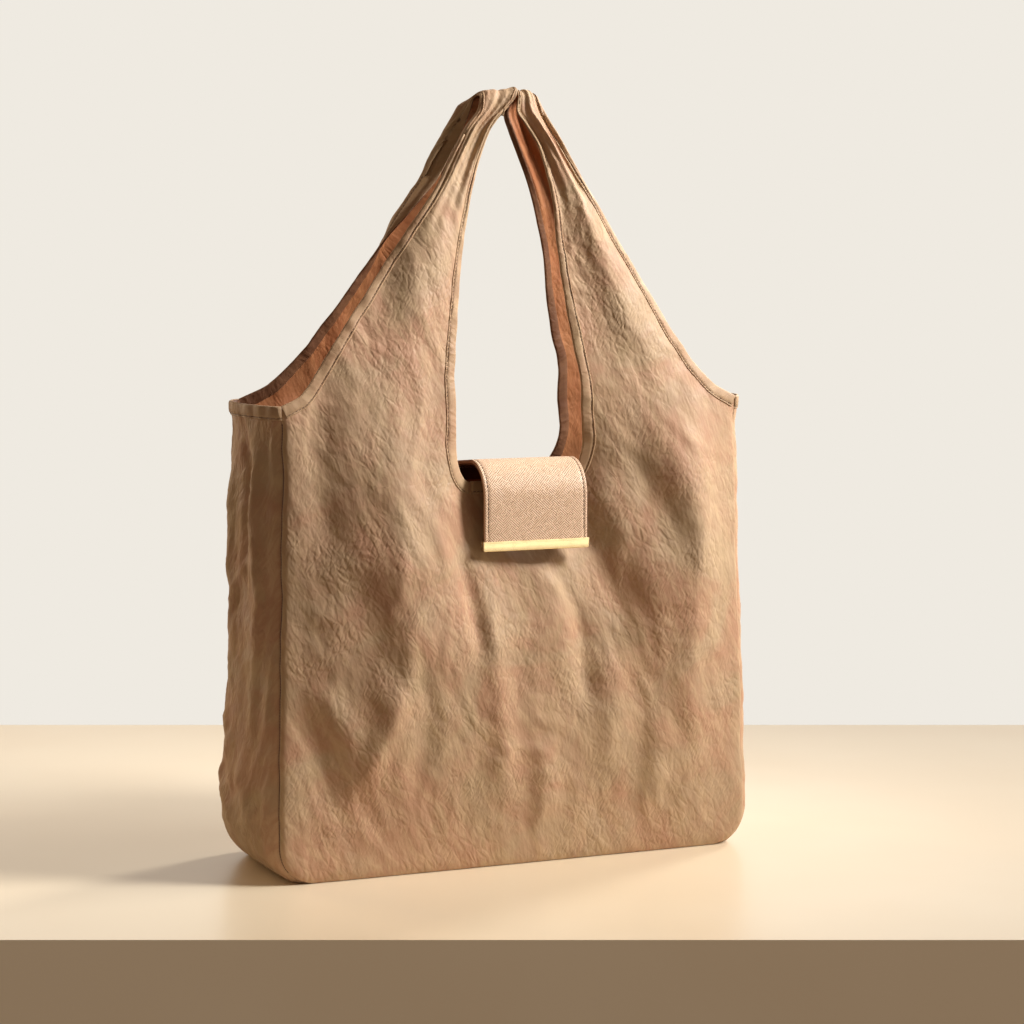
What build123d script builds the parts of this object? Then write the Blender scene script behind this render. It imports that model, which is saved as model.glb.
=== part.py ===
from build123d import *
import math
import os

# Foldable tote bag with a leather wrap, a magnetic flap and a snap hook, in millimetres.
# The origin is the centre of the base on the surface the bag stands on.
# +X is right as seen from the front, the front faces -Y, and +Z is up.

# Bag body
base_width = 420.0
base_depth = 138.0
shoulder_width = 400.0
shoulder_depth = 118.0
shoulder_height = 380.0
total_height = 630.0
corner_radius = 30.0
base_seam_x = base_width / 2 - corner_radius - 10.0
cloth = 1.2
hem_width = 9.5
hem_width_at_top = 4.5
hem_cloth = 0.8
seam_tape_width = 8.0

# Handle loops: half widths about a centre line that leans to +X as it rises
loop_lean = 15.0
loop_bend_radius = 7.0
loop_corner_y = 7.6
armhole_half_widths = [(200, 380), (178, 391), (126, 461), (61, 566), (27, 622)]
neck_bottom = 316.0
neck_flat_half = 46.0
neck_half_widths = [(63, 350), (61, 396), (47, 501), (32, 576), (20, 606), (10, 620)]

# Leather wrap and flap
wrap_x = 8.0
wrap_half_width = 45.0
wrap_low = 196.0
outer_leather = 1.4
stiffener_board = 1.6
lining_leather = 0.9
stack = outer_leather + stiffener_board + lining_leather
stitch_margin = 4.0
flap_slope = math.radians(5.2)
flap_bend_radius = 27.0
flap_front_y = -80.0
flap_bottom = 262.0
hinge_rise = 5.0
fold_gap = 0.4

# Edge bar and magnets
bar_half_width = 46.5
bar_height = 8.0
bar_wall = 0.7
bar_gap = 0.3
bar_edge_radius = 0.5
screw_radius = 1.0
screw_head_radius = 2.0
screw_head_height = 0.6
screw_spacing = 60.0
magnet_radius = 7.0
magnet_height = 276.0
flap_magnet_thickness = 1.0
front_magnet_thickness = 2.0
pouch_size = 26.0
pouch_corner_radius = 3.0

# Hook tab, ring, swivel and snap hook
ring_z = 300.0
ring_radius = 10.0
ring_wire = 1.3
ring_angle = math.radians(35)
tunnel_x = wrap_x - wrap_half_width - 16.0
tunnel_radius = 3.4
tab_leather = 1.2
tab_height = 12.0
tab_end_x = wrap_x - wrap_half_width + 14.0
rivet_x = wrap_x - wrap_half_width + 8.0
eye_wire = 1.1
eye_radius = 3.7
stem_radius = 1.6
stem_foot_radius = 2.5
stem_foot_height = 1.4
collar_radius = 3.4
collar_height = 3.0
collar_bore_depth = 8.0
running_clearance = 0.05
hook_width = 15.0
hook_height = 36.0
hook_bar = 2.8
hook_thickness = 3.0
hook_corner_radius = 6.0
hook_inner_radius = 2.0
gate_pin_radius = 0.6
gate_spring_radius = 1.1
gate_spring_length = 0.7


def wall_y(z):
    """Half depth of the bag's straight lower wall at height z."""
    return base_depth / 2 - (base_depth - shoulder_depth) / 2 * z / shoulder_height


def crossing(start, direction, z):
    """The y where a line through start, as (y, z), reaches height z."""
    return start[0] + direction[0] * (z - start[1]) / direction[1]


def wall_corners(inset):
    """Corners (y, z) of the front wall's side profile, moved inward by inset."""
    lower = (-wall_y(0) + inset, 0.0)
    lower_direction = (wall_y(0) - wall_y(shoulder_height), shoulder_height)
    upper_direction = (wall_y(shoulder_height) - loop_corner_y, total_height - shoulder_height)
    upper = (-loop_corner_y + inset / math.cos(math.atan2(*upper_direction)), total_height)
    # The two lines meet where their y values are equal
    lower_slope = lower_direction[0] / lower_direction[1]
    upper_slope = upper_direction[0] / upper_direction[1]
    z_meet = (lower[0] - upper[0] + upper_slope * total_height) / (upper_slope - lower_slope)
    shoulder = (lower[0] + lower_slope * z_meet, z_meet)
    top_z = total_height - inset
    top_corner = (crossing(upper, upper_direction, top_z), top_z)
    return lower, shoulder, top_corner, (0.0, top_z)


def wall_slab(outer_inset, inner_inset):
    """A slab between two depths of the front wall, wider than the bag, up and over to y = 0."""
    with BuildPart() as slab:
        with BuildSketch(Plane.YZ):
            with BuildLine():
                ends = []
                for inset in (outer_inset, inner_inset):
                    lower, shoulder, top_corner, top = wall_corners(inset)
                    wall = Line(lower, shoulder)
                    over = FilletPolyline(shoulder, top_corner, top, radius=loop_bend_radius - inset)
                    ends.append((wall @ 0, over @ 1))
                Line(ends[0][0], ends[1][0])
                Line(ends[0][1], ends[1][1])
            make_face()
        extrude(amount=base_width, both=True)
    return slab.part


def lean(z):
    """How far the handle loops' centre line has leaned to +X at height z."""
    rise = max(0.0, (z - shoulder_height) / (total_height - shoulder_height))
    return loop_lean * rise**1.5


def loop_points(half_widths, side):
    """Points (x, z) of an edge on one side of the leaning centre line."""
    return [(lean(z) + side * half, z) for half, z in half_widths]


def armhole_points(side):
    return loop_points(armhole_half_widths, side)


def neck_points(side):
    """The neck's edge on one side, from its flat bottom up to the top of the loop."""
    return [(side * neck_flat_half, neck_bottom)] + loop_points(neck_half_widths, side)


def neck_edge(side):
    """The neck's curved side as a spline that leaves the flat bottom smoothly."""
    return Spline(*neck_points(side), tangents=[(side, 0), (-side, 1)])


def panel_outline():
    """Front view of a panel: body with rounded lower corners, two straps, U-shaped neck."""
    above = total_height + 10.0
    half_base = base_width / 2
    half_shoulder = shoulder_width / 2
    with BuildSketch(Plane.XZ) as outline:
        with BuildLine():
            FilletPolyline(
                (-half_shoulder, shoulder_height), (-half_base, 0), (half_base, 0),
                (half_shoulder, shoulder_height), radius=corner_radius)
            for side in (-1, 1):
                armhole = Spline(*armhole_points(side))
                neck = neck_edge(side)
                outer_top = (lean(above) + side * 20.0, above)
                inner_top = (lean(above) + side * 1.0, above)
                Polyline(armhole @ 1, outer_top, inner_top, (inner_top[0], total_height), neck @ 1)
            Line((-neck_flat_half, neck_bottom), (neck_flat_half, neck_bottom))
        make_face()
    return outline.sketch


def beside(edge, side, count=9):
    """Points of a hem's inner edge, to the left of its outer edge where side is 1."""
    points = []
    for step in range(count):
        along_edge = step / (count - 1)
        width = hem_width + (hem_width_at_top - hem_width) * along_edge
        place = edge.position_at(along_edge)
        along = edge.tangent_at(along_edge)
        points.append((place.X - side * width * along.Y, place.Y + side * width * along.X))
    return points


def edge_band(edge, side):
    """Close a hem's band beside an edge that runs up a handle loop."""
    inner = Spline(*beside(edge, side))
    Line(edge @ 0, inner @ 0)
    Line(edge @ 1, inner @ 1)


panel_face = panel_outline()
cloth_slab = wall_slab(0.0, cloth)
binding_slab = wall_slab(-hem_cloth, 0.0)
tape_slab = wall_slab(cloth, cloth + hem_cloth)

# Panels: each is one cut piece of cloth with its two straps, sewn to its twin over the loops
with BuildPart() as front_panel:
    extrude(panel_face, amount=base_depth)
    add(cloth_slab, mode=Mode.INTERSECT)

with BuildPart() as back_panel:
    mirror(front_panel.part, about=Plane.XZ)


# Gusset strips run down each side, round the lower corner, and meet the base strip
def side_corners(side, inset):
    """Corners of the bag's side edge from the shoulder to the base seam, moved inward by inset."""
    return [
        (side * (shoulder_width / 2 - inset), shoulder_height),
        (side * (base_width / 2 - inset), inset),
        (side * base_seam_x, inset)]


def inner_space(inset, low, high):
    """Side view region between the front and the back walls, from low to high."""
    return [
        (-(wall_y(low) - inset), low), (wall_y(low) - inset, low),
        (wall_y(high) - inset, high), (-(wall_y(high) - inset), high)]


def gusset(side):
    """One gusset strip, from the shoulder down and round the corner to the base seam."""
    with BuildPart() as strip:
        with BuildSketch(Plane.XZ):
            with BuildLine():
                outer = FilletPolyline(*side_corners(side, 0.0), radius=corner_radius)
                inner = FilletPolyline(*side_corners(side, cloth), radius=corner_radius - cloth)
                Line(outer @ 0, inner @ 0)
                Line(outer @ 1, inner @ 1)
            make_face()
        extrude(amount=base_depth, both=True)
        with BuildSketch(Plane.YZ):
            Polygon(*inner_space(cloth, 0.0, shoulder_height), align=None)
        extrude(amount=base_width, both=True, mode=Mode.INTERSECT)
    return strip


gusset_left = gusset(-1)
gusset_right = gusset(1)

with BuildPart() as base_panel:
    with BuildSketch(Plane.YZ):
        Polygon(*inner_space(cloth, 0.0, cloth), align=None)
    extrude(amount=base_seam_x, both=True)


# Bindings: folded tape along the armholes and the neck, on the outer face of the cloth
def armhole_binding(side):
    """Tape round one side opening: front edge, gusset top and back edge."""
    with BuildPart() as front_band:
        with BuildSketch(Plane.XZ):
            with BuildLine():
                armhole = Spline(*armhole_points(side))
                edge_band(armhole, side)
            make_face()
        extrude(amount=base_depth)
        add(binding_slab, mode=Mode.INTERSECT)
    edge_y = wall_y(shoulder_height)
    with BuildPart() as binding:
        add(front_band.part)
        mirror(front_band.part, about=Plane.XZ)
        with BuildSketch(Plane.XZ):
            with BuildLine():
                top = (side * shoulder_width / 2, shoulder_height)
                low_x = shoulder_width / 2 + hem_width * 10.0 / shoulder_height
                low = (side * low_x, shoulder_height - hem_width)
                Polyline(
                    top, low, (low[0] + side * hem_cloth, low[1]),
                    (top[0] + side * hem_cloth, top[1]), close=True)
            make_face()
        extrude(amount=edge_y + hem_cloth, both=True)
    return binding


armhole_binding_left = armhole_binding(-1)
armhole_binding_right = armhole_binding(1)

with BuildPart() as neck_band:
    with BuildSketch(Plane.XZ):
        for side in (-1, 1):
            with BuildLine():
                neck = neck_edge(side)
                edge_band(neck, -side)
            make_face()
        with BuildLine():
            Polyline(
                (-neck_flat_half, neck_bottom), (neck_flat_half, neck_bottom),
                (neck_flat_half, neck_bottom - hem_width),
                (-neck_flat_half, neck_bottom - hem_width), close=True)
        make_face()
    extrude(amount=base_depth)
    add(binding_slab, mode=Mode.INTERSECT)

with BuildPart() as neck_binding:
    add(neck_band.part)
    mirror(neck_band.part, about=Plane.XZ)


# Seam tapes bind the raw edges inside, where each panel is sewn to the gussets and the base
def seam_loop(inset):
    """Front view path of the seam, moved inward from the bag's outline by inset."""
    half_base = base_width / 2 - inset
    half_shoulder = shoulder_width / 2 - inset
    top = shoulder_height - hem_width
    return FilletPolyline(
        (-half_shoulder, top), (-half_base, inset), (half_base, inset), (half_shoulder, top),
        radius=corner_radius - inset)


with BuildPart() as seam_binding_front:
    with BuildSketch(Plane.XZ):
        with BuildLine():
            outer_seam = seam_loop(cloth)
            inner_seam = seam_loop(cloth + seam_tape_width)
            Line(outer_seam @ 0, inner_seam @ 0)
            Line(outer_seam @ 1, inner_seam @ 1)
        make_face()
    extrude(amount=base_depth)
    add(tape_slab, mode=Mode.INTERSECT)

with BuildPart() as seam_binding_back:
    mirror(seam_binding_front.part, about=Plane.XZ)


# The wrap: leather, board and lining sewn flat on the outside of the back panel
def back_layer(start, thickness):
    """Side view of a layer on the back wall, start and thickness measured outward."""
    top = wrap_top
    return [
        (wall_y(wrap_low) + start, wrap_low), (wall_y(wrap_low) + start + thickness, wrap_low),
        (wall_y(top) + start + thickness, top), (wall_y(top) + start, top)]


lining_start = hem_cloth
hinge_z = neck_bottom + hinge_rise
wrap_top = hinge_z - stack / 2 - fold_gap
board_start = lining_start + lining_leather
leather_start = board_start + stiffener_board
wrap_sheet = Plane.YZ.offset(wrap_x)
tab_face_y = wall_y(ring_z - tab_height / 2) + leather_start + outer_leather
rivet_plane = Plane(origin=(rivet_x, tab_face_y, ring_z), x_dir=(1, 0, 0), z_dir=(0, 1, 0))
rivet_radius = 1.5
rivet_head_radius = 4.0
rivet_burr_radius = 3.0
rivet_burr = 0.6
wrap_magnet_z = wrap_low + 18.0
wrap_magnet_plane = Plane(
    origin=(wrap_x, wall_y(wrap_magnet_z) + board_start + stiffener_board / 2, wrap_magnet_z),
    x_dir=(1, 0, 0), z_dir=(0, 1, 0))

with BuildPart() as wrap_lining:
    with BuildSketch(wrap_sheet):
        Polygon(*back_layer(lining_start, lining_leather), align=None)
    extrude(amount=wrap_half_width, both=True)

with BuildPart() as wrap_stiffener:
    with BuildSketch(wrap_sheet):
        Polygon(*back_layer(board_start, stiffener_board), align=None)
    extrude(amount=wrap_half_width - stitch_margin, both=True)
    with BuildSketch(rivet_plane):
        Circle(rivet_radius)
    extrude(amount=8.0, both=True, mode=Mode.SUBTRACT)
    with BuildSketch(rivet_plane.offset(-outer_leather - stiffener_board + rivet_burr)):
        Circle(rivet_burr_radius)
    extrude(amount=-2.0, mode=Mode.SUBTRACT)
    with BuildSketch(wrap_magnet_plane):
        Circle(magnet_radius)
    extrude(amount=stiffener_board, both=True, mode=Mode.SUBTRACT)

with BuildPart() as wrap_outer:
    with BuildSketch(wrap_sheet):
        Polygon(*back_layer(leather_start, outer_leather), align=None)
    extrude(amount=wrap_half_width, both=True)
    with BuildSketch(rivet_plane):
        Circle(rivet_radius)
    extrude(amount=4.0, both=True, mode=Mode.SUBTRACT)

with BuildPart() as wrap_magnet:
    with BuildSketch(wrap_magnet_plane):
        Circle(magnet_radius)
    extrude(amount=flap_magnet_thickness / 2, both=True)

# The flap: the same stack, from the fold at the back neck edge over the mouth and down in front
hinge_y = wall_y(hinge_z) + lining_start + stack / 2


def flap_corners(shift):
    """Corners (y, z) of the flap's side profile, moved outward by shift from its middle."""
    start = (hinge_y + shift * math.sin(flap_slope), hinge_z + shift * math.cos(flap_slope))
    front = flap_front_y + stack / 2 - shift
    corner_z = start[1] + (start[0] - front) * math.tan(flap_slope)
    return start, (front, corner_z), (front, flap_bottom)


def flap_layer(low, high, half_width):
    """One layer of the flap, between two shifts from the middle of the stack."""
    with BuildPart() as layer:
        with BuildSketch(wrap_sheet):
            with BuildLine():
                inner = FilletPolyline(*flap_corners(low), radius=flap_bend_radius + low)
                outer = FilletPolyline(*flap_corners(high), radius=flap_bend_radius + high)
                Line(inner @ 0, outer @ 0)
                Line(inner @ 1, outer @ 1)
            make_face()
        extrude(amount=half_width, both=True)
    return layer.part


flap_inner = -stack / 2
flap_board_low = flap_inner + lining_leather
flap_board_high = flap_board_low + stiffener_board
flap_middle_y = flap_front_y + stack / 2
screw_plane = Plane(
    origin=(wrap_x, flap_middle_y, flap_bottom + bar_height / 2 - 1.0),
    x_dir=(1, 0, 0), z_dir=(0, -1, 0))
magnet_plane = Plane(
    origin=(wrap_x, flap_middle_y, magnet_height), x_dir=(1, 0, 0), z_dir=(0, -1, 0))
board_middle = (flap_board_low + flap_board_high) / 2


with BuildSketch(screw_plane) as screw_clearance:
    with GridLocations(screw_spacing, 1, 2, 1):
        Circle(screw_radius + bar_gap)


def screw_holes():
    """Clear the two screws of the edge bar through the leather being built."""
    extrude(screw_clearance.sketch, amount=stack, both=True, mode=Mode.SUBTRACT)


with BuildPart() as flap_lining:
    add(flap_layer(flap_inner, flap_board_low, wrap_half_width))
    screw_holes()

with BuildPart() as flap_stiffener:
    add(flap_layer(flap_board_low, flap_board_high, wrap_half_width - stitch_margin))
    screw_holes()
    with BuildSketch(magnet_plane):
        Circle(magnet_radius + bar_gap)
    extrude(amount=stack, both=True, mode=Mode.SUBTRACT)

with BuildPart() as flap_outer:
    add(flap_layer(flap_board_high, stack / 2, wrap_half_width))
    screw_holes()

with BuildPart() as flap_magnet:
    with BuildSketch(magnet_plane.offset(board_middle)):
        Circle(magnet_radius)
    extrude(amount=flap_magnet_thickness / 2, both=True)

# The edge bar is a folded metal channel over the flap's lower edge, held by two screws
slot_half = stack / 2 + bar_gap
with BuildPart() as edge_bar:
    with BuildSketch(wrap_sheet):
        with Locations((flap_middle_y, flap_bottom - bar_gap - bar_wall)):
            Rectangle(2 * (slot_half + bar_wall), bar_height, align=(Align.CENTER, Align.MIN))
        with Locations((flap_middle_y, flap_bottom - bar_gap)):
            Rectangle(2 * slot_half, bar_height, align=(Align.CENTER, Align.MIN), mode=Mode.SUBTRACT)
    extrude(amount=bar_half_width, both=True)
    fillet(edge_bar.edges().filter_by(Axis.X).group_by(Axis.Z)[0], radius=bar_edge_radius)
    with BuildSketch(screw_plane):
        with GridLocations(screw_spacing, 1, 2, 1):
            Circle(screw_radius)
    extrude(amount=-stack, mode=Mode.SUBTRACT)

with BuildPart() as bar_screws:
    with BuildSketch(screw_plane.offset(slot_half)):
        with GridLocations(screw_spacing, 1, 2, 1):
            Circle(screw_radius)
    extrude(amount=-2 * slot_half - bar_wall)
    with BuildSketch(screw_plane.offset(-slot_half - bar_wall)):
        with GridLocations(screw_spacing, 1, 2, 1):
            Circle(screw_head_radius)
    extrude(amount=-screw_head_height)

# The front closure: a magnet behind the front panel under a sewn pouch
front_inner_y = -wall_y(magnet_height) + cloth
closure_tilt = math.atan2(base_depth / 2 - shoulder_depth / 2, shoulder_height)
closure_plane = Plane(
    origin=(wrap_x, front_inner_y, magnet_height),
    x_dir=(1, 0, 0), z_dir=(0, math.cos(closure_tilt), -math.sin(closure_tilt)))

with BuildPart() as front_magnet:
    with BuildSketch(closure_plane.offset(bar_gap)):
        Circle(magnet_radius)
    extrude(amount=front_magnet_thickness)

with BuildPart() as magnet_patch:
    with BuildSketch(closure_plane.offset(bar_gap)):
        RectangleRounded(pouch_size, pouch_size, pouch_corner_radius)
    extrude(amount=front_magnet_thickness + hem_cloth)
    with BuildSketch(closure_plane.offset(bar_gap)):
        Circle(magnet_radius)
    extrude(amount=front_magnet_thickness, mode=Mode.SUBTRACT)

# The hook tab: a leather strip folded round the ring and riveted to the wrap
tunnel_y = tab_face_y + tab_leather
tunnel_outer = tunnel_radius + tab_leather
neck_length = 6.0

with BuildPart() as hook_tab:
    with BuildSketch(Plane.XY.offset(ring_z)):
        with Locations((tunnel_x, tunnel_y)):
            Circle(tunnel_outer)
        with BuildLine():
            Polyline(
                (tunnel_x, tunnel_y - tunnel_outer), (tunnel_x + neck_length + 5.0, tunnel_y - tab_leather),
                (tab_end_x, tunnel_y - tab_leather), (tab_end_x, tunnel_y + tab_leather),
                (tunnel_x + neck_length + 5.0, tunnel_y + tab_leather),
                (tunnel_x, tunnel_y + tunnel_outer), close=True)
        make_face()
        with Locations((tunnel_x, tunnel_y)):
            Circle(tunnel_radius, mode=Mode.SUBTRACT)
    extrude(amount=tab_height / 2, both=True)
    with BuildSketch(rivet_plane):
        Circle(rivet_radius)
    extrude(amount=2 * tab_leather, mode=Mode.SUBTRACT)

rivet_back = -outer_leather - stiffener_board + rivet_burr
with BuildPart() as tab_rivet:
    with BuildSketch(rivet_plane.offset(2 * tab_leather)):
        Circle(rivet_radius)
    extrude(amount=-2 * tab_leather + rivet_back)
    with BuildSketch(rivet_plane.offset(2 * tab_leather)):
        Circle(rivet_head_radius)
    extrude(amount=1.2, taper=20)
    with BuildSketch(rivet_plane.offset(rivet_back)):
        Circle(rivet_burr_radius - 0.2)
    extrude(amount=-0.4)

# The split ring hangs in the tab and stands off the bag by ring_angle
ring_reach = ring_radius - 1.0
ring_direction = Vector(-math.cos(ring_angle), math.sin(ring_angle), 0)
ring_centre = Vector(tunnel_x, tunnel_y, ring_z) + ring_direction * ring_reach

with BuildPart() as split_ring:
    ring_normal = ring_direction.cross(Vector(0, 0, 1))
    with BuildSketch(Plane(origin=ring_centre, x_dir=ring_direction, z_dir=(0, 0, 1))):
        with Locations((ring_radius, 0)):
            Circle(ring_wire)
    revolve(axis=Axis(ring_centre, ring_normal), revolution_arc=360)

# The swivel: an eye round the ring's lowest point and a stem that turns in the hook's collar
swivel_z = ring_z - ring_radius
eye_z = swivel_z - 1.0
eye_centre = Vector(ring_centre.X, ring_centre.Y, eye_z)
stem_top = eye_z - eye_radius
collar_top = stem_top - eye_wire - 1.0
hook_top = collar_top - collar_height
head_gap = 0.1

with BuildPart() as swivel_eye:
    with BuildSketch(Plane(origin=eye_centre, x_dir=ring_normal, z_dir=(0, 0, 1))):
        with Locations((eye_radius, 0)):
            Circle(eye_wire)
    revolve(axis=Axis(eye_centre, ring_direction), revolution_arc=360)
    with BuildSketch(Plane.XY.offset(stem_top)):
        with Locations((ring_centre.X, ring_centre.Y)):
            Circle(stem_radius)
    extrude(amount=-(stem_top - hook_top + hook_bar + head_gap))
    with BuildSketch(Plane.XY.offset(hook_top - hook_bar - head_gap)):
        with Locations((ring_centre.X, ring_centre.Y)):
            Circle(stem_foot_radius)
    extrude(amount=-stem_foot_height)

# The snap hook: a flat loop with a sprung gate in its right side
hook_middle = hook_top - hook_height / 2
hook_plane = Plane(origin=(ring_centre.X, ring_centre.Y, hook_middle), x_dir=(1, 0, 0), z_dir=(0, -1, 0))
gate_x = hook_width / 2 - hook_bar / 2
gate_top = 8.0
gate_low = -9.0
gate_width = 2.8
gate_gap = 0.3
tongue = 1.0
slot = 2.0
shoulder_gap = gate_width / 2 + gate_gap

with BuildPart() as hook_body:
    with BuildSketch(hook_plane):
        RectangleRounded(hook_width, hook_height, hook_corner_radius)
        RectangleRounded(
            hook_width - 2 * hook_bar, hook_height - 2 * hook_bar, hook_inner_radius, mode=Mode.SUBTRACT)
        with Locations((gate_x, (gate_top + shoulder_gap + gate_low) / 2)):
            Rectangle(4.0, gate_top + shoulder_gap - gate_low, mode=Mode.SUBTRACT)
    extrude(amount=hook_thickness / 2, both=True)
    with BuildSketch(hook_plane.offset(slot / 2 - tongue)):
        with Locations((gate_x, gate_top + 1.0)):
            Rectangle(2.4, 2.0 + shoulder_gap)
        with Locations((gate_x, gate_top)):
            Circle(1.2)
    extrude(amount=tongue)
    with BuildSketch(Plane.XY.offset(collar_top)):
        with Locations((ring_centre.X, ring_centre.Y)):
            Circle(collar_radius)
    extrude(amount=-collar_height - hook_bar / 2 - 0.1)
    with BuildSketch(Plane.XY.offset(collar_top)):
        with Locations((ring_centre.X, ring_centre.Y)):
            Circle(stem_radius + running_clearance)
    extrude(amount=-collar_bore_depth, mode=Mode.SUBTRACT)
    with BuildSketch(hook_plane):
        with Locations((gate_x, gate_top)):
            Circle(gate_pin_radius + running_clearance)
    extrude(amount=hook_thickness, both=True, mode=Mode.SUBTRACT)

with BuildPart() as gate:
    with BuildSketch(hook_plane):
        with Locations((gate_x, (gate_top + gate_low + gate_gap) / 2)):
            Rectangle(gate_width, gate_top - gate_low - gate_gap)
        with Locations((gate_x, gate_top)):
            Circle(gate_width / 2)
    extrude(amount=hook_thickness / 2, both=True)
    with BuildSketch(hook_plane):
        with Locations((gate_x, gate_top)):
            Rectangle(gate_width + 1.0, 4.0)
    extrude(amount=slot / 2 + 0.1, both=True, mode=Mode.SUBTRACT)
    with BuildSketch(hook_plane):
        with Locations((gate_x, gate_top)):
            Circle(gate_pin_radius)
    extrude(amount=hook_thickness, both=True, mode=Mode.SUBTRACT)

with BuildPart() as gate_pin:
    with BuildSketch(hook_plane):
        with Locations((gate_x, gate_top)):
            Circle(gate_pin_radius)
    extrude(amount=hook_thickness / 2, both=True)

with BuildPart() as gate_spring:
    with BuildSketch(hook_plane.offset(-slot / 2 + 0.1)):
        with Locations((gate_x, gate_top)):
            Circle(gate_spring_radius)
            Circle(gate_pin_radius + running_clearance, mode=Mode.SUBTRACT)
    extrude(amount=gate_spring_length)

pieces = {
    "front_panel": front_panel,
    "back_panel": back_panel,
    "gusset_left": gusset_left,
    "gusset_right": gusset_right,
    "base_panel": base_panel,
    "armhole_binding_left": armhole_binding_left,
    "armhole_binding_right": armhole_binding_right,
    "neck_binding": neck_binding,
    "seam_binding_front": seam_binding_front,
    "seam_binding_back": seam_binding_back,
    "wrap_lining": wrap_lining,
    "wrap_stiffener": wrap_stiffener,
    "wrap_outer": wrap_outer,
    "wrap_magnet": wrap_magnet,
    "flap_lining": flap_lining,
    "flap_stiffener": flap_stiffener,
    "flap_outer": flap_outer,
    "flap_magnet": flap_magnet,
    "edge_bar": edge_bar,
    "bar_screws": bar_screws,
    "front_magnet": front_magnet,
    "magnet_patch": magnet_patch,
    "hook_tab": hook_tab,
    "tab_rivet": tab_rivet,
    "split_ring": split_ring,
    "swivel_eye": swivel_eye,
    "hook_body": hook_body,
    "gate": gate,
    "gate_pin": gate_pin,
    "gate_spring": gate_spring,
}

os.makedirs("parts", exist_ok=True)
for node, piece in pieces.items():
    piece.part.label = node
    export_step(piece.part, f"parts/{node}.step")
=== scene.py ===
import math

import bmesh
import bpy
import numpy as np
from mathutils import Matrix, Vector


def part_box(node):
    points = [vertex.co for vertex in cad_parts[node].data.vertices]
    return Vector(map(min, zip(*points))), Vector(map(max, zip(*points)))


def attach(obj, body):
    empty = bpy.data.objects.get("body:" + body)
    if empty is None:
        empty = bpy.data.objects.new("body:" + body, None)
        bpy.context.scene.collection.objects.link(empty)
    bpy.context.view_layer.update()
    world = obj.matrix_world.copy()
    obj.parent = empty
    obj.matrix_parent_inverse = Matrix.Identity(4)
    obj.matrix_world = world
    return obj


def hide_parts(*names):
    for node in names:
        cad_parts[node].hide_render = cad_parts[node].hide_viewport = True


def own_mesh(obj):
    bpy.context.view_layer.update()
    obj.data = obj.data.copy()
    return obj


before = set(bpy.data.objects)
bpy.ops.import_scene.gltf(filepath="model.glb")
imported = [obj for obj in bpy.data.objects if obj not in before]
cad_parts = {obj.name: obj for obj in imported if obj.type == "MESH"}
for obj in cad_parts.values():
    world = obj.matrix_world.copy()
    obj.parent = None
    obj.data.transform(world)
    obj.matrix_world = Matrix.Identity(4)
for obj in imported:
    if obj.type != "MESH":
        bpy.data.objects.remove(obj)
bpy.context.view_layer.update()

# Foldable tote bag with a leather wrap, a magnetic flap and a snap hook.
# Shapes are worked out in millimetres in the shared frame and become metres when a mesh is made.
MM = 0.001
FRONT, BACK = -1, 1
LEFT, RIGHT = -1, 1


def box_mm(node):
    """Lowest and highest corner of a CAD node in millimetres."""
    low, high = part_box(node)
    return np.array(low) / MM, np.array(high) / MM


# ---------------------------------------------------------------- sizes from the frame
panel_low, panel_high = box_mm("front_panel")
gusset_high = box_mm("gusset_left")[1]
base_width = panel_high[0] - panel_low[0]
base_depth = -2 * panel_low[1]
total_height = panel_high[2]
shoulder_height = gusset_high[2]
shoulder_half = 200.0
shoulder_depth = base_depth - 20.0
corner_radius = 30.0
ground = 0.4
shoulder_ease = 11.0

# Handle loops: half widths about a centre line that leans to +X as it rises
loop_lean = 15.0
loop_corner_y = 7.6
loop_bend_radius = 7.0
armhole_half_widths = {
    (FRONT, LEFT): [(200, 380), (184, 388), (159, 421), (130, 463), (96, 510),
                    (64, 555), (39, 601), (27, 618), (24, 640)],
    (FRONT, RIGHT): [(200, 380), (178, 391), (126, 461), (61, 566), (29, 618), (20, 640)],
    (BACK, LEFT): [(200, 380), (173, 392), (149, 416), (119, 458), (97, 492),
                   (74, 525), (48, 560), (34, 596), (28, 618), (24, 640)],
    (BACK, RIGHT): [(200, 380), (176, 392), (124, 461), (60, 566), (29, 618), (20, 640)],
}
neck_half_widths = {
    (FRONT, LEFT): [(56, 350), (53, 398), (48, 462), (36, 542), (28, 575), (19, 598), (13, 607),
                    (5, 616), (-2, 624), (-6.4, 631), (-6.6, 640)],
    (FRONT, RIGHT): [(60, 350), (57, 394), (47, 452), (42, 502), (37, 545), (26, 585), (13, 606),
                     (6, 616), (6.6, 624), (7.4, 630), (7.4, 640)],
    (BACK, LEFT): [(50, 350), (48, 396), (42, 480), (32, 560), (21, 596), (13, 608),
                   (5, 616), (-2, 624), (-6.4, 631), (-6.6, 640)],
    (BACK, RIGHT): [(91, 350), (88, 395), (73, 438), (59, 498), (38, 552), (24, 578), (11, 601),
                    (5, 615), (6.4, 624), (7.4, 630), (7.4, 640)],
}
neck_flat = {(FRONT, LEFT): 44.0, (FRONT, RIGHT): 46.0, (BACK, LEFT): 44.0, (BACK, RIGHT): 76.0}
neck_bottom = 316.0
neck_corner_top = 350.0
cloth_gauge = 0.5
cell = 2.3
gathered_z = 566.0
stitch_from_hem_edge = 1.6
stitch_lift = 0.42

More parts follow.
